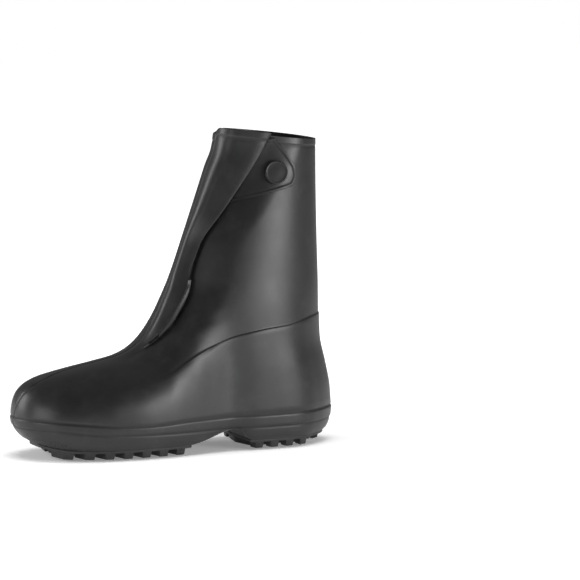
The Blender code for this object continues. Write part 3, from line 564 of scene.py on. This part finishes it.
def rear_wall(front_share, place, stand_off):
    """Point off the lateral wall behind the fold, and the wall's outward direction there."""
    lateral = half_section(front_share, back_share(front_share), "lateral")
    length = run_length(lateral)[-1]
    off = stand_off - valley(front_share, length, np.array([place * length]))[0]
    points = offset_points(lateral, [place * length] * 2, [off, off + 1.0])
    return points[0], points[1] - points[0]


def build_tab():
    """The closure tab: a lip with a beaded edge that comes out from under the fold."""
    rows = np.linspace(0.0, 1.0, len(TAB["front"]))
    turn = np.linspace(0.0, math.pi, TAB_ROWS + 1)
    seat, out = np.zeros((TAB_ROWS + 1, TAB_STEPS + 1, 3)), np.zeros((TAB_ROWS + 1, TAB_STEPS + 1, 3))
    for i, row in enumerate((1 - np.cos(turn)) / 2):
        root = TAB_ROOT[0] + (TAB_ROOT[1] - TAB_ROOT[0]) * row
        free_front, free_place = np.interp(row, rows, TAB["front"]), np.interp(row, rows, TAB["place"])
        girth = run_length(half_section(root, back_share(root), "lateral"))[-1]
        start = pleat_row(root)[0] - TAB_TUCK / girth
        for j, across in enumerate(np.sin(np.linspace(0.0, math.pi / 2, TAB_STEPS + 1))):
            front = root + (free_front - root) * across
            seat[i, j], out[i, j] = rear_wall(front, start + (free_place - start) * across, TAB_REST)
    rim = np.concatenate([seat[0], seat[:, -1], seat[-1][::-1]])
    inside = np.linalg.norm(seat[:, :, None] - rim[None, None], axis=3).min(axis=2)
    edge = np.clip(inside / TAB_ROUND, 0.0, 1.0)
    bead = TAB_BEAD * (1 - step(inside, TAB_BEAD_WIDTH, TAB_BEAD_WIDTH + TAB_ROUND))
    top = (TAB_THICKNESS + bead) * np.sqrt(1 - (1 - edge) ** 2)
    upper_face = seat + out * top[:, :, None]
    # painted shade along the inner foot of the tab's raised bead
    line = hump(inside, TAB_BEAD_WIDTH + TAB_ROUND, LINE_HALF)
    sheet = np.concatenate([upper_face, seat[:, ::-1], upper_face[:, :1]], axis=1)
    groove = np.concatenate([line, np.zeros(line.shape), line[:, :1]], axis=1)
    return laid_sheet("closure_tab_lip", sheet, groove=groove)


def spun(bm, profile, steps):
    """Turned solid about +Z from a profile of (radius, height) that starts and ends on the axis."""
    verts = [bm.verts.new((radius, 0.0, height)) for radius, height in profile]
    edges = [bm.edges.new(pair) for pair in zip(verts, verts[1:])]
    bmesh.ops.spin(bm, geom=verts + edges, cent=(0, 0, 0), axis=(0, 0, 1), angle=2 * math.pi, steps=steps,
                   use_merge=True)
    bmesh.ops.remove_doubles(bm, verts=bm.verts, dist=1e-6)


def sharp_edges(bm, angle):
    """Edges that are sharper than an angle in degrees."""
    return [edge for edge in bm.edges if edge.is_manifold and edge.calc_face_angle() > math.radians(angle)]


def rounded(bm, edges, width, segments, clamp=False):
    """Rounds some edges."""
    bmesh.ops.bevel(bm, geom=edges, offset=width, offset_type="OFFSET", segments=segments, profile=0.5,
                    affect="EDGES", material=-1, clamp_overlap=clamp)


def drawn(bm, faces):
    """Draws faces out where they are; returns the new points and the new faces."""
    new = bmesh.ops.extrude_face_region(bm, geom=faces)["geom"]
    kinds = bmesh.types.BMVert, bmesh.types.BMFace
    return [[item for item in new if isinstance(item, kind)] for kind in kinds]


BUTTON_RIM = 0.0013       # width of the button's raised rim
BUTTON_DISH = 0.0004      # the face inside the rim is sunk by this much
BUTTON_CROWN = 0.0004     # and rises again by this much to its middle
BUTTON_ROUND = 0.0003
BUTTON_STEPS, STUD_STEPS = 96, 24


def button_seat():
    """Foot of the button on the dipped wall, and the way out from the wall there."""
    front, place = BUTTON_SEAT
    behind = rear_wall(front, place + SEAT_STEP, 0.0)[0] - rear_wall(front, place - SEAT_STEP, 0.0)[0]
    above = rear_wall(front + SEAT_STEP, place, 0.0)[0] - rear_wall(front - SEAT_STEP, place, 0.0)[0]
    return rear_wall(front, place, 0.0)[0], np.cross(behind, above)


def build_button():
    """The button: a round head with a raised rim over the tab, on its neck."""
    seat, out = button_seat()
    neck, head = NECK_DIAMETER / 2, BUTTON_DIAMETER / 2
    under = TAB_REST + TAB_THICKNESS + BUTTON_LIFT
    top = under + BUTTON_THICKNESS
    face = head - BUTTON_RIM
    bm = bmesh.new()
    dish = top - BUTTON_DISH
    spun(bm, [(0.0, GAP), (neck, GAP), (neck, under), (head - 0.0004, under), (head, under + 0.0007),
              (head, top - 0.0008), (head - 0.0005, top - 0.0001), (face, top), (face - 0.0006, dish),
              (face * 0.5, dish + 0.75 * BUTTON_CROWN), (0.0, dish + BUTTON_CROWN)], BUTTON_STEPS)
    rounded(bm, sharp_edges(bm, 24), BUTTON_ROUND, 3)
    turn = Vector((0.0, 0.0, 1.0)).rotation_difference(Vector(out)).to_matrix().to_4x4()
    bmesh.ops.transform(bm, verts=bm.verts, matrix=Matrix.Translation(Vector(seat)) @ turn)
    return finished("button_head", bm)


# Tread. Side lugs: first centre before the heel nose and pitch as shares of LENGTH, number, and side (1 is
# the medial one).
FOREFOOT_LUGS = ((0.8650, 0.0545, 7, 1), (0.8780, 0.0552, 7, -1))
HEEL_LUGS = ((0.2780, 0.0503, 4, 1), (0.2860, 0.0490, 4, -1))
# Chevron bars: apex before the heel nose and sweep as shares of LENGTH, medial and lateral reach of WIDTH.
FOREFOOT_BARS = ((0.839, 0.016, 0.190, 0.160), (0.752, 0.019, 0.245, 0.235), (0.663, 0.022, 0.250, 0.255),
                 (0.572, 0.016, 0.210, 0.225))
HEEL_BARS = ((0.309, 0.014, 0.215, 0.205), (0.219, 0.018, 0.205, 0.190), (0.111, 0.010, 0.090, 0.085))
# Bosses: centre before the heel nose as a share of LENGTH, offset as a share of WIDTH, 1 studded or 0 hollow.
FOREFOOT_BOSSES = (
    (0.863, 0.090, 1), (0.867, -0.085, 1), (0.768, 0.190, 1), (0.785, 0.000, 1), (0.773, -0.180, 1),
    (0.673, 0.218, 1), (0.690, 0.000, 1), (0.677, -0.210, 1), (0.582, 0.190, 1), (0.584, -0.220, 1),
    (0.605, 0.000, 0),
)
HEEL_BOSSES = (
    (0.232, 0.150, 1), (0.235, -0.148, 1), (0.131, 0.118, 1), (0.134, -0.118, 1), (0.057, 0.000, 1),
    (0.257, 0.000, 0), (0.154, 0.000, 0),
)
FOREFOOT_END = 0.506
HEEL_BREAST = 0.312
TREAD_START = 0.0020
BOSS_SIDES = 28
HOLE_DEPTH = 0.0032
PLATE_STEPS = (60, 16)    # cells of a tread plate's grid along and across the foot
PLATE_CROWDING = 1.8      # they draw together towards its round end


def sole_edges():
    """Edges of the underside: rising x, and half width on the lateral and on the medial side."""
    ring = tucked(section(0.0), math.pi / 2)
    near, far = ring[:HALF_STEPS + 1], ring[HALF_STEPS:][::-1]
    return {-1: (near[:, 0], np.abs(near[:, 1])), 1: (far[:, 0], np.abs(far[:, 1]))}


SOLE_EDGES = sole_edges()


def tread_half(x, side):
    """Half width of a tread plate at x."""
    xs, halves = SOLE_EDGES[side]
    return float(np.interp(x, xs, halves, left=0.0, right=0.0)) - TREAD_MARGIN


def block(bm, outline, gritty=False, hollow=0.0, dish=0.0):
    """Tread block: an outline drawn down from the plate to the ground side, with leaning walls."""
    before = set(bm.verts)
    roots = [bm.verts.new((x, y, float(sole_level(x)) - GAP - TREAD_PLATE + ROOT)) for x, y in outline(0.0)]
    feet, faces = drawn(bm, [bm.faces.new(roots)])
    face = faces[0]
    for vert, (x, y) in zip(face.verts, outline(LUG_TAPER)):
        vert.co = (x, y, STUD_PROUD)
    rim = [edge for vert in feet for edge in vert.link_edges]
    if hollow:
        bmesh.ops.inset_individual(bm, faces=[face], thickness=hollow, depth=0.0, use_even_offset=True)
        bmesh.ops.translate(bm, verts=drawn(bm, [face])[0], vec=(0.0, 0.0, HOLE_DEPTH))
        bmesh.ops.delete(bm, geom=[face], context="FACES_ONLY")
    if dish:
        bmesh.ops.inset_individual(bm, faces=[face], thickness=BOSS_STEP, depth=0.0, use_even_offset=True)
        bmesh.ops.inset_individual(bm, faces=[face], thickness=dish, depth=-dish, use_even_offset=True)
    rounded(bm, list(set(rim)), LUG_ROUND, 2, clamp=True)
    if gritty:
        layer = bm.verts.layers.float["grit"]
        for vert in set(bm.verts) - before:
            vert[layer] = 1.0


def lug_outline(x, side, length, reach, slant):
    """Side lug between the plate's edge and its inner end, with a slanted toe side."""
    def outline(inset):
        half, inner = length / 2 - inset, reach - inset
        corners = [(x - half + slant, inset), (x + half, inset), (x + half, inner), (x - half, inner)]
        return [(a, side * (tread_half(a, side) - SOLE_INSET - b)) for a, b in corners]
    return outline


def bar_outline(apex, sweep, medial, lateral):
    """Chevron bar that points to the toe."""
    def outline(inset):
        x, far = HEEL - apex * LENGTH + inset, BAR_WIDTH - 2 * inset
        back, left, right = x + sweep * LENGTH, medial * WIDTH - inset, inset - lateral * WIDTH
        corners = ((x, 0.0), (back, left), (back + far, left), (x + far, 0.0), (back + far, right))
        return [*corners, (back, right)]
    return outline


def boss_outline(x, y):
    """Round boss."""
    def outline(inset):
        radius = BOSS_DIAMETER / 2 - inset
        turn = [2 * math.pi * (k + 0.5) / BOSS_SIDES for k in range(BOSS_SIDES)]
        return [(x + radius * math.cos(a), y + radius * math.sin(a)) for a in turn]
    return outline


def tread_sheet(bm, start, end, round_end):
    """Plate under the foot: a grid fitted to the underside's edge, drawn down to its thickness."""
    sheet = bmesh.ops.create_grid(bm, x_segments=PLATE_STEPS[0], y_segments=PLATE_STEPS[1], size=0.5)["verts"]
    for vert in sheet:
        share, y = vert.co.x + 0.5, 2 * vert.co.y
        share = share ** PLATE_CROWDING if round_end == "toe" else 1 - (1 - share) ** PLATE_CROWDING
        x = start + (end - start) * share
        vert.co = (x, y * tread_half(x, 1 if y > 0 else -1), float(sole_level(x)) - GAP)
    low = drawn(bm, list(bm.faces))[0]
    bmesh.ops.translate(bm, verts=low, vec=(0.0, 0.0, -TREAD_PLATE))
    rim = [edge for edge in sharp_edges(bm, 50) if edge.verts[0] in low and edge.verts[1] in low]
    rounded(bm, rim, LUG_ROUND, 2)


def build_tread(name, plate, lugs, bars, bosses, lug_size, stud_lugs, hole_lugs, gritty_lug, gritty_bar):
    """One tread with its plate, lugs, bars and bosses; also the places of its studs."""
    bm = bmesh.new()
    bm.verts.layers.float.new("grit")
    tread_sheet(bm, *plate)
    studs = []
    for first, pitch, number, side in lugs:
        for k in range(number):
            x = HEEL - (first - k * pitch) * LENGTH
            outline = lug_outline(x, side, *lug_size)
            block(bm, outline, k == gritty_lug, LUG_RIM if k in hole_lugs else 0.0)
            if k in stud_lugs:
                studs.append(tuple(np.mean(outline(0.0), axis=0)))
    for forward, offset, studded in bosses:
        place = (HEEL - forward * LENGTH, offset * WIDTH)
        block(bm, boss_outline(*place), False, *((0.0, BOSS_DISH) if studded else (BOSS_RIM, 0.0)))
        if studded:
            studs.append(place)
    for k, row in enumerate(bars):
        block(bm, bar_outline(*row), k == gritty_bar)
    return finished(name, bm, 30.0), studs


def build_stud(name, x, y):
    """Steel ice stud: a flanged body in the rubber and a narrower tip that stands on the ground."""
    body, tip = STUD_DIAMETER / 2, STUD_TIP_DIAMETER / 2
    bm = bmesh.new()
    spun(bm, [(0.0, 0.0), (tip * 0.75, 0.0), (tip, 0.00025), (tip, STUD_PROUD - 0.0004),
              (body - 0.0002, STUD_PROUD - 0.0003), (body, STUD_PROUD), (body, STUD_LENGTH),
              (0.0, STUD_LENGTH)], STUD_STEPS)
    bmesh.ops.translate(bm, verts=bm.verts, vec=(x, y, 0.0))
    return finished(name, bm, 30.0)


def wire(tree, source, target):
    """Joins an output socket to an input socket."""
    tree.links.new(source, target)


def noise(tree, vector, scale, detail, roughness=0.5):
    """Noise texture on given coordinates; returns its value."""
    node = tree.nodes.new("ShaderNodeTexNoise")
    node.inputs["Detail"].default_value = detail
    node.inputs["Roughness"].default_value = roughness
    wire(tree, vector, node.inputs["Vector"])
    if isinstance(scale, float):
        node.inputs["Scale"].default_value = scale
    else:
        wire(tree, scale, node.inputs["Scale"])
    return node.outputs["Fac"]


def maths(tree, operation, first, second):
    """One sum of two values, each a socket or a number."""
    node = tree.nodes.new("ShaderNodeMath")
    node.operation = operation
    for socket, value in zip(node.inputs, (first, second)):
        if isinstance(value, (int, float)):
            socket.default_value = value
        else:
            wire(tree, value, socket)
    return node.outputs[0]


def ranged(tree, value, low, high, to_low, to_high):
    """Value taken from one range to another, clamped."""
    node = tree.nodes.new("ShaderNodeMapRange")
    node.interpolation_type = "SMOOTHSTEP"
    for name, number in (("From Min", low), ("From Max", high), ("To Min", to_low), ("To Max", to_high)):
        node.inputs[name].default_value = number
    wire(tree, value, node.inputs["Value"])
    return node.outputs[0]


def mixed(tree, share, first, second):
    """Colour between two, each a socket or a grey or coloured triple, by a share."""
    node = tree.nodes.new("ShaderNodeMix")
    node.data_type = "RGBA"
    wire(tree, share, node.inputs[0])
    for socket, colour in zip(node.inputs[6:8], (first, second)):
        if isinstance(colour, tuple):
            socket.default_value = (*colour, 1.0)
        else:
            wire(tree, colour, socket)
    return node.outputs[2]


def painted(tree, name):
    """Mask that a piece carries on its points."""
    node = tree.nodes.new("ShaderNodeAttribute")
    node.attribute_name = name
    return node.outputs["Fac"]


def bumped(tree, height, depth, shader):
    """Relief on a shader's surface."""
    node = tree.nodes.new("ShaderNodeBump")
    node.inputs["Distance"].default_value = depth
    wire(tree, height, node.inputs["Height"])
    wire(tree, node.outputs["Normal"], shader.inputs["Normal"])


def new_look(name):
    """Fresh material, its tree and its shader."""
    look = bpy.data.materials.new(name)
    look.use_nodes = True
    return look, look.node_tree, look.node_tree.nodes["Principled BSDF"]


def effect(name, inputs, outputs):
    """Empty shader group with named number sockets; returns the group and its two ends."""
    group = bpy.data.node_groups.new(name, "ShaderNodeTree")
    for label, start in inputs:
        socket = group.interface.new_socket(label, in_out="INPUT", socket_type="NodeSocketFloat")
        socket.default_value = start
    for label in outputs:
        group.interface.new_socket(label, in_out="OUTPUT", socket_type="NodeSocketFloat")
    return group, group.nodes.new("NodeGroupInput").outputs, group.nodes.new("NodeGroupOutput").inputs


def moulded_skin():
    """Skin of moulded rubber: a fine grain, slow flow waves and cloudy patches where it was handled."""
    group, given, result = effect("moulded_skin", (("Grain Scale", 900.0), ("Grain", 0.5), ("Wave", 0.5)),
                                  ("Height", "Cloud", "Fine"))
    place = group.nodes.new("ShaderNodeTexCoord").outputs["Object"]
    fine = noise(group, place, given["Grain Scale"], 3.0, 0.6)
    wave = noise(group, place, 30.0, 2.0)
    cloud = noise(group, place, 34.0, 9.0, 0.72)
    height = maths(group, "ADD", maths(group, "MULTIPLY", fine, given["Grain"]),
                   maths(group, "MULTIPLY", wave, given["Wave"]))
    wire(group, height, result["Height"])
    wire(group, cloud, result["Cloud"])
    wire(group, fine, result["Fine"])
    return group


def dust_film():
    """Pale dust: thin clouds with scattered specks."""
    group, given, result = effect("dust_film", (("Amount", 0.5),), ("Dust",))
    place = group.nodes.new("ShaderNodeTexCoord").outputs["Object"]
    cloud = ranged(group, noise(group, place, 60.0, 8.0, 0.7), 0.48, 0.75, 0.0, 1.0)
    specks = ranged(group, noise(group, place, 1600.0, 2.0), 0.70, 0.78, 0.0, 1.0)
    both = maths(group, "ADD", maths(group, "MULTIPLY", cloud, 0.6), maths(group, "MULTIPLY", specks, 0.4))
    wire(group, maths(group, "MULTIPLY", both, given["Amount"]), result["Dust"])
    return group


def placed(tree, group, **values):
    """A group placed in a material with its own values."""
    node = tree.nodes.new("ShaderNodeGroup")
    node.node_tree = group
    for name, value in values.items():
        node.inputs[name.replace("_", " ")].default_value = value
    return node.outputs


GRIT_HEIGHT = 0.0006      # crumbs of the gritted lugs stand up by this much
DUST = (0.20, 0.20, 0.195)
SHADE = (0.004, 0.004, 0.004)   # painted shade in the moulded lines


def grit_crumbs():
    """Sharp crumbs in the rubber of the gritted lugs."""
    group, given, result = effect("grit_crumbs", (("Amount", 1.0),), ("Crumb",))
    place = group.nodes.new("ShaderNodeTexCoord").outputs["Object"]
    cells = group.nodes.new("ShaderNodeTexVoronoi")
    cells.inputs["Scale"].default_value = 950.0
    wire(group, place, cells.inputs["Vector"])
    crumb = ranged(group, cells.outputs["Distance"], 0.15, 0.62, 1.0, 0.0)
    uneven = ranged(group, noise(group, place, 520.0, 2.0), 0.35, 0.62, 0.2, 1.0)
    rough = maths(group, "MULTIPLY", crumb, uneven)
    wire(group, maths(group, "MULTIPLY", rough, given["Amount"]), result["Crumb"])
    return group


def moulded_rubber(name, effects, dark, pale, gloss, grain, bump):
    """Black moulded rubber: satin skin with a faint bloom, painted shade in the grooves, grain and a little
    dust.
    """
    skin, dust, grit = effects
    look, tree, shader = new_look(name)
    surface = placed(tree, skin, Grain_Scale=grain, Grain=0.35, Wave=0.65)
    film = placed(tree, dust, Amount=0.06)
    crumb = placed(tree, grit, Amount=1.0)
    groove = painted(tree, "groove")
    rough_part = maths(tree, "MULTIPLY", painted(tree, "grit"), crumb["Crumb"])
    bloom = ranged(tree, surface["Cloud"], 0.35, 0.68, 0.0, 1.0)
    tint = mixed(tree, maths(tree, "MAXIMUM", bloom, rough_part), dark, pale)
    dusty = mixed(tree, film["Dust"], tint, DUST)
    # painted shade: the grooves' mask darkens the colour towards SHADE
    wire(tree, mixed(tree, maths(tree, "MULTIPLY", groove, 0.85), dusty, SHADE), shader.inputs["Base Color"])
    rough = ranged(tree, surface["Cloud"], 0.3, 0.7, *gloss)
    wire(tree, maths(tree, "ADD", rough, maths(tree, "MULTIPLY", groove, 0.3)), shader.inputs["Roughness"])
    crumbs = maths(tree, "MULTIPLY", rough_part, GRIT_HEIGHT / bump)
    bumped(tree, maths(tree, "ADD", surface["Height"], crumbs), bump, shader)
    return look


def ground_steel(skin):
    """Steel of the studs: bright, with fine grinding marks and dull patches."""
    look, tree, shader = new_look("stud_steel")
    surface = placed(tree, skin, Grain_Scale=2600.0, Grain=0.8, Wave=0.2)
    tint = mixed(tree, surface["Fine"], (0.42, 0.41, 0.40), (0.74, 0.74, 0.75))
    wire(tree, tint, shader.inputs["Base Color"])
    wire(tree, ranged(tree, surface["Cloud"], 0.3, 0.7, 0.2, 0.42), shader.inputs["Roughness"])
    shader.inputs["Metallic"].default_value = 1.0
    bumped(tree, surface["Height"], 0.00004, shader)
    return look


def aim(thing, target):
    """Turns a camera or a light to a point."""
    thing.rotation_euler = (Vector(target) - thing.location).to_track_quat("-Z", "Y").to_euler()


# Studio.
VIEW_AZIMUTH = math.radians(-22.0)
VIEW_ELEVATION = math.radians(9.0)
VIEW_DISTANCE = 4.5
PICTURE = 580
PIXELS_PER_METRE = 1125.0
ORIGIN_PIXEL = (173.0, 447.5)


def build_camera():
    """Long lens from the lateral side, a little above the floor."""
    ground = Vector((0.0, ACROSS, 0.0))
    away = Vector((math.sin(VIEW_AZIMUTH) * math.cos(VIEW_ELEVATION),
                   -math.cos(VIEW_AZIMUTH) * math.cos(VIEW_ELEVATION), math.sin(VIEW_ELEVATION)))
    right = Vector((math.cos(VIEW_AZIMUTH), math.sin(VIEW_AZIMUTH), 0.0))
    up = right.cross(-away)
    data = bpy.data.cameras.new("camera")
    data.sensor_width = 36.0
    data.lens = PIXELS_PER_METRE * VIEW_DISTANCE * data.sensor_width / PICTURE
    data.clip_end = 20.0
    camera = linked("camera", data)
    camera.location = ground + away * VIEW_DISTANCE
    centre = ground + right * (PICTURE / 2 - ORIGIN_PIXEL[0]) / PIXELS_PER_METRE \
        + up * (ORIGIN_PIXEL[1] - PICTURE / 2) / PIXELS_PER_METRE
    aim(camera, centre)
    bpy.context.scene.camera = camera


def build_light(name, azimuth, elevation, distance, size, power, mirrored=True):
    """Soft box in a direction from the boot. Azimuth 0 is in front of the lateral side, 90 at the heel."""
    data = bpy.data.lights.new(name, "AREA")
    data.shape = "RECTANGLE"
    data.size, data.size_y = size
    data.energy = power
    light = linked(name, data)
    light.visible_glossy = mirrored
    turn, rise = math.radians(azimuth), math.radians(elevation)
    middle = Vector((0.0, 0.0, 0.12))
    way = Vector((math.sin(turn) * math.cos(rise), -math.cos(turn) * math.cos(rise), math.sin(rise)))
    light.location = middle + distance * way
    aim(light, middle)


FLOOR_HALF = 4.0
FLOOR_CLEAR = (0.30, 0.75)   # the floor's painted glow rises to the white of the surround between these distances


def glowing_floor_paper():
    """White paper that takes the boot's shadow and glows with painted light, dim near the boot and white
    further out, and dim grey to the rubber; from below it is clear.
    """
    look, tree, shader = new_look("glowing_floor_paper")
    place = tree.nodes.new("ShaderNodeTexCoord").outputs["Object"]
    far = tree.nodes.new("ShaderNodeVectorMath")
    far.operation = "LENGTH"
    wire(tree, place, far.inputs[0])
    grain = ranged(tree, noise(tree, place, 400.0, 3.0), 0.3, 0.7, 0.0, 1.0)
    wire(tree, mixed(tree, grain, (0.88, 0.88, 0.88), (0.92, 0.92, 0.92)), shader.inputs["Base Color"])
    shader.inputs["Roughness"].default_value = 0.9
    shader.inputs["Specular IOR Level"].default_value = 0.1
    shader.inputs["Emission Strength"].default_value = 1.0
    # painted light: the paper glows dim grey near the boot and white further out to the camera, and dim grey
    # to the rubber
    fade = ranged(tree, far.outputs["Value"], *FLOOR_CLEAR, 0.0, 1.0)
    glow = mixed(tree, fade, (0.22, 0.22, 0.22), (0.9, 0.9, 0.9))
    seen = tree.nodes.new("ShaderNodeLightPath").outputs["Is Camera Ray"]
    wire(tree, mixed(tree, seen, (0.16, 0.16, 0.16), glow), shader.inputs["Emission Color"])
    sides = tree.nodes.new("ShaderNodeMixShader")
    wire(tree, tree.nodes.new("ShaderNodeNewGeometry").outputs["Backfacing"], sides.inputs[0])
    wire(tree, shader.outputs[0], sides.inputs[1])
    wire(tree, tree.nodes.new("ShaderNodeBsdfTransparent").outputs[0], sides.inputs[2])
    wire(tree, sides.outputs[0], tree.nodes["Material Output"].inputs["Surface"])
    return look


def build_surround():
    """White to the camera, dim grey to the rubber, so that only the soft boxes shine on it."""
    world = bpy.data.worlds.new("surround")
    world.use_nodes = True
    tree = world.node_tree
    backdrop = tree.nodes["Background"]
    backdrop.inputs["Color"].default_value = (1.0, 1.0, 1.0, 1.0)
    seen = tree.nodes.new("ShaderNodeLightPath").outputs["Is Camera Ray"]
    wire(tree, maths(tree, "ADD", maths(tree, "MULTIPLY", seen, 0.79), 0.21), backdrop.inputs["Strength"])
    bpy.context.scene.world = world


def build_studio():
    """Pale floor with a painted glow, soft boxes and an even surround."""
    bm = bmesh.new()
    bmesh.ops.create_grid(bm, x_segments=1, y_segments=1, size=FLOOR_HALF)
    mesh = bpy.data.meshes.new("floor")
    bm.to_mesh(mesh)
    bm.free()
    floor = linked("floor", mesh)
    mesh.materials.append(glowing_floor_paper())
    build_surround()
    build_light("soft_box_right", 40.0, 0.0, 1.7, (0.36, 1.1), 10.5)
    build_light("soft_box_low", 31.0, 6.0, 1.6, (0.42, 0.26), 7.0)
    build_light("soft_box_left", -122.0, 15.0, 1.6, (0.6, 0.9), 10.0)
    build_light("soft_box_toe", -68.0, 1.0, 0.75, (0.25, 0.25), 1.0)
    build_light("soft_box_above", 0.0, 84.0, 1.9, (1.6, 1.2), 36.0, mirrored=False)
    bpy.context.scene.view_settings.view_transform = "Standard"


def stands_for(piece, node, look):
    """A finished piece takes a node's place, with its finish."""
    piece.data.materials.append(look)
    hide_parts(node)
    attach(piece, "root")


effects = moulded_skin(), dust_film(), grit_crumbs()
black = moulded_rubber("black_rubber", effects, (0.0050, 0.0050, 0.0052), (0.0080, 0.0080, 0.0083),
                       (0.37, 0.43), 900.0, 0.00008)
tread_black = moulded_rubber("tread_rubber", effects, (0.007, 0.007, 0.0072), (0.022, 0.022, 0.023),
                             (0.46, 0.60), 1300.0, 0.00014)
steel = ground_steel(effects[0])
stands_for(build_overshoe(), "upper", black)
stands_for(build_tab(), "closure_tab", black)
stands_for(build_button(), "button", black)
toe_edge, heel_edge = float(SOLE_EDGES[1][0][0]), float(SOLE_EDGES[1][0][-1])
forefoot, stud_places = build_tread(
    "forefoot_lugs", (toe_edge + TREAD_START, HEEL - FOREFOOT_END * LENGTH, "toe"), FOREFOOT_LUGS,
    FOREFOOT_BARS, FOREFOOT_BOSSES, (LUG_LENGTH, LUG_REACH, LUG_SLANT), (1, 3, 5), (), 6, 3)
heel, heel_places = build_tread(
    "heel_lugs", (HEEL - HEEL_BREAST * LENGTH, heel_edge - TREAD_START, "heel"), HEEL_LUGS, HEEL_BARS,
    HEEL_BOSSES, (HEEL_LUG_LENGTH, HEEL_LUG_REACH, HEEL_LUG_SLANT), (3,), (1,), 0, 0)
stands_for(forefoot, "forefoot_tread", tread_black)
stands_for(heel, "heel_tread", tread_black)
for number, place in enumerate(stud_places + heel_places, start=1):
    stands_for(build_stud(f"ice_stud_{number:02d}", *place), f"stud_{number:02d}", steel)
build_camera()
build_studio()
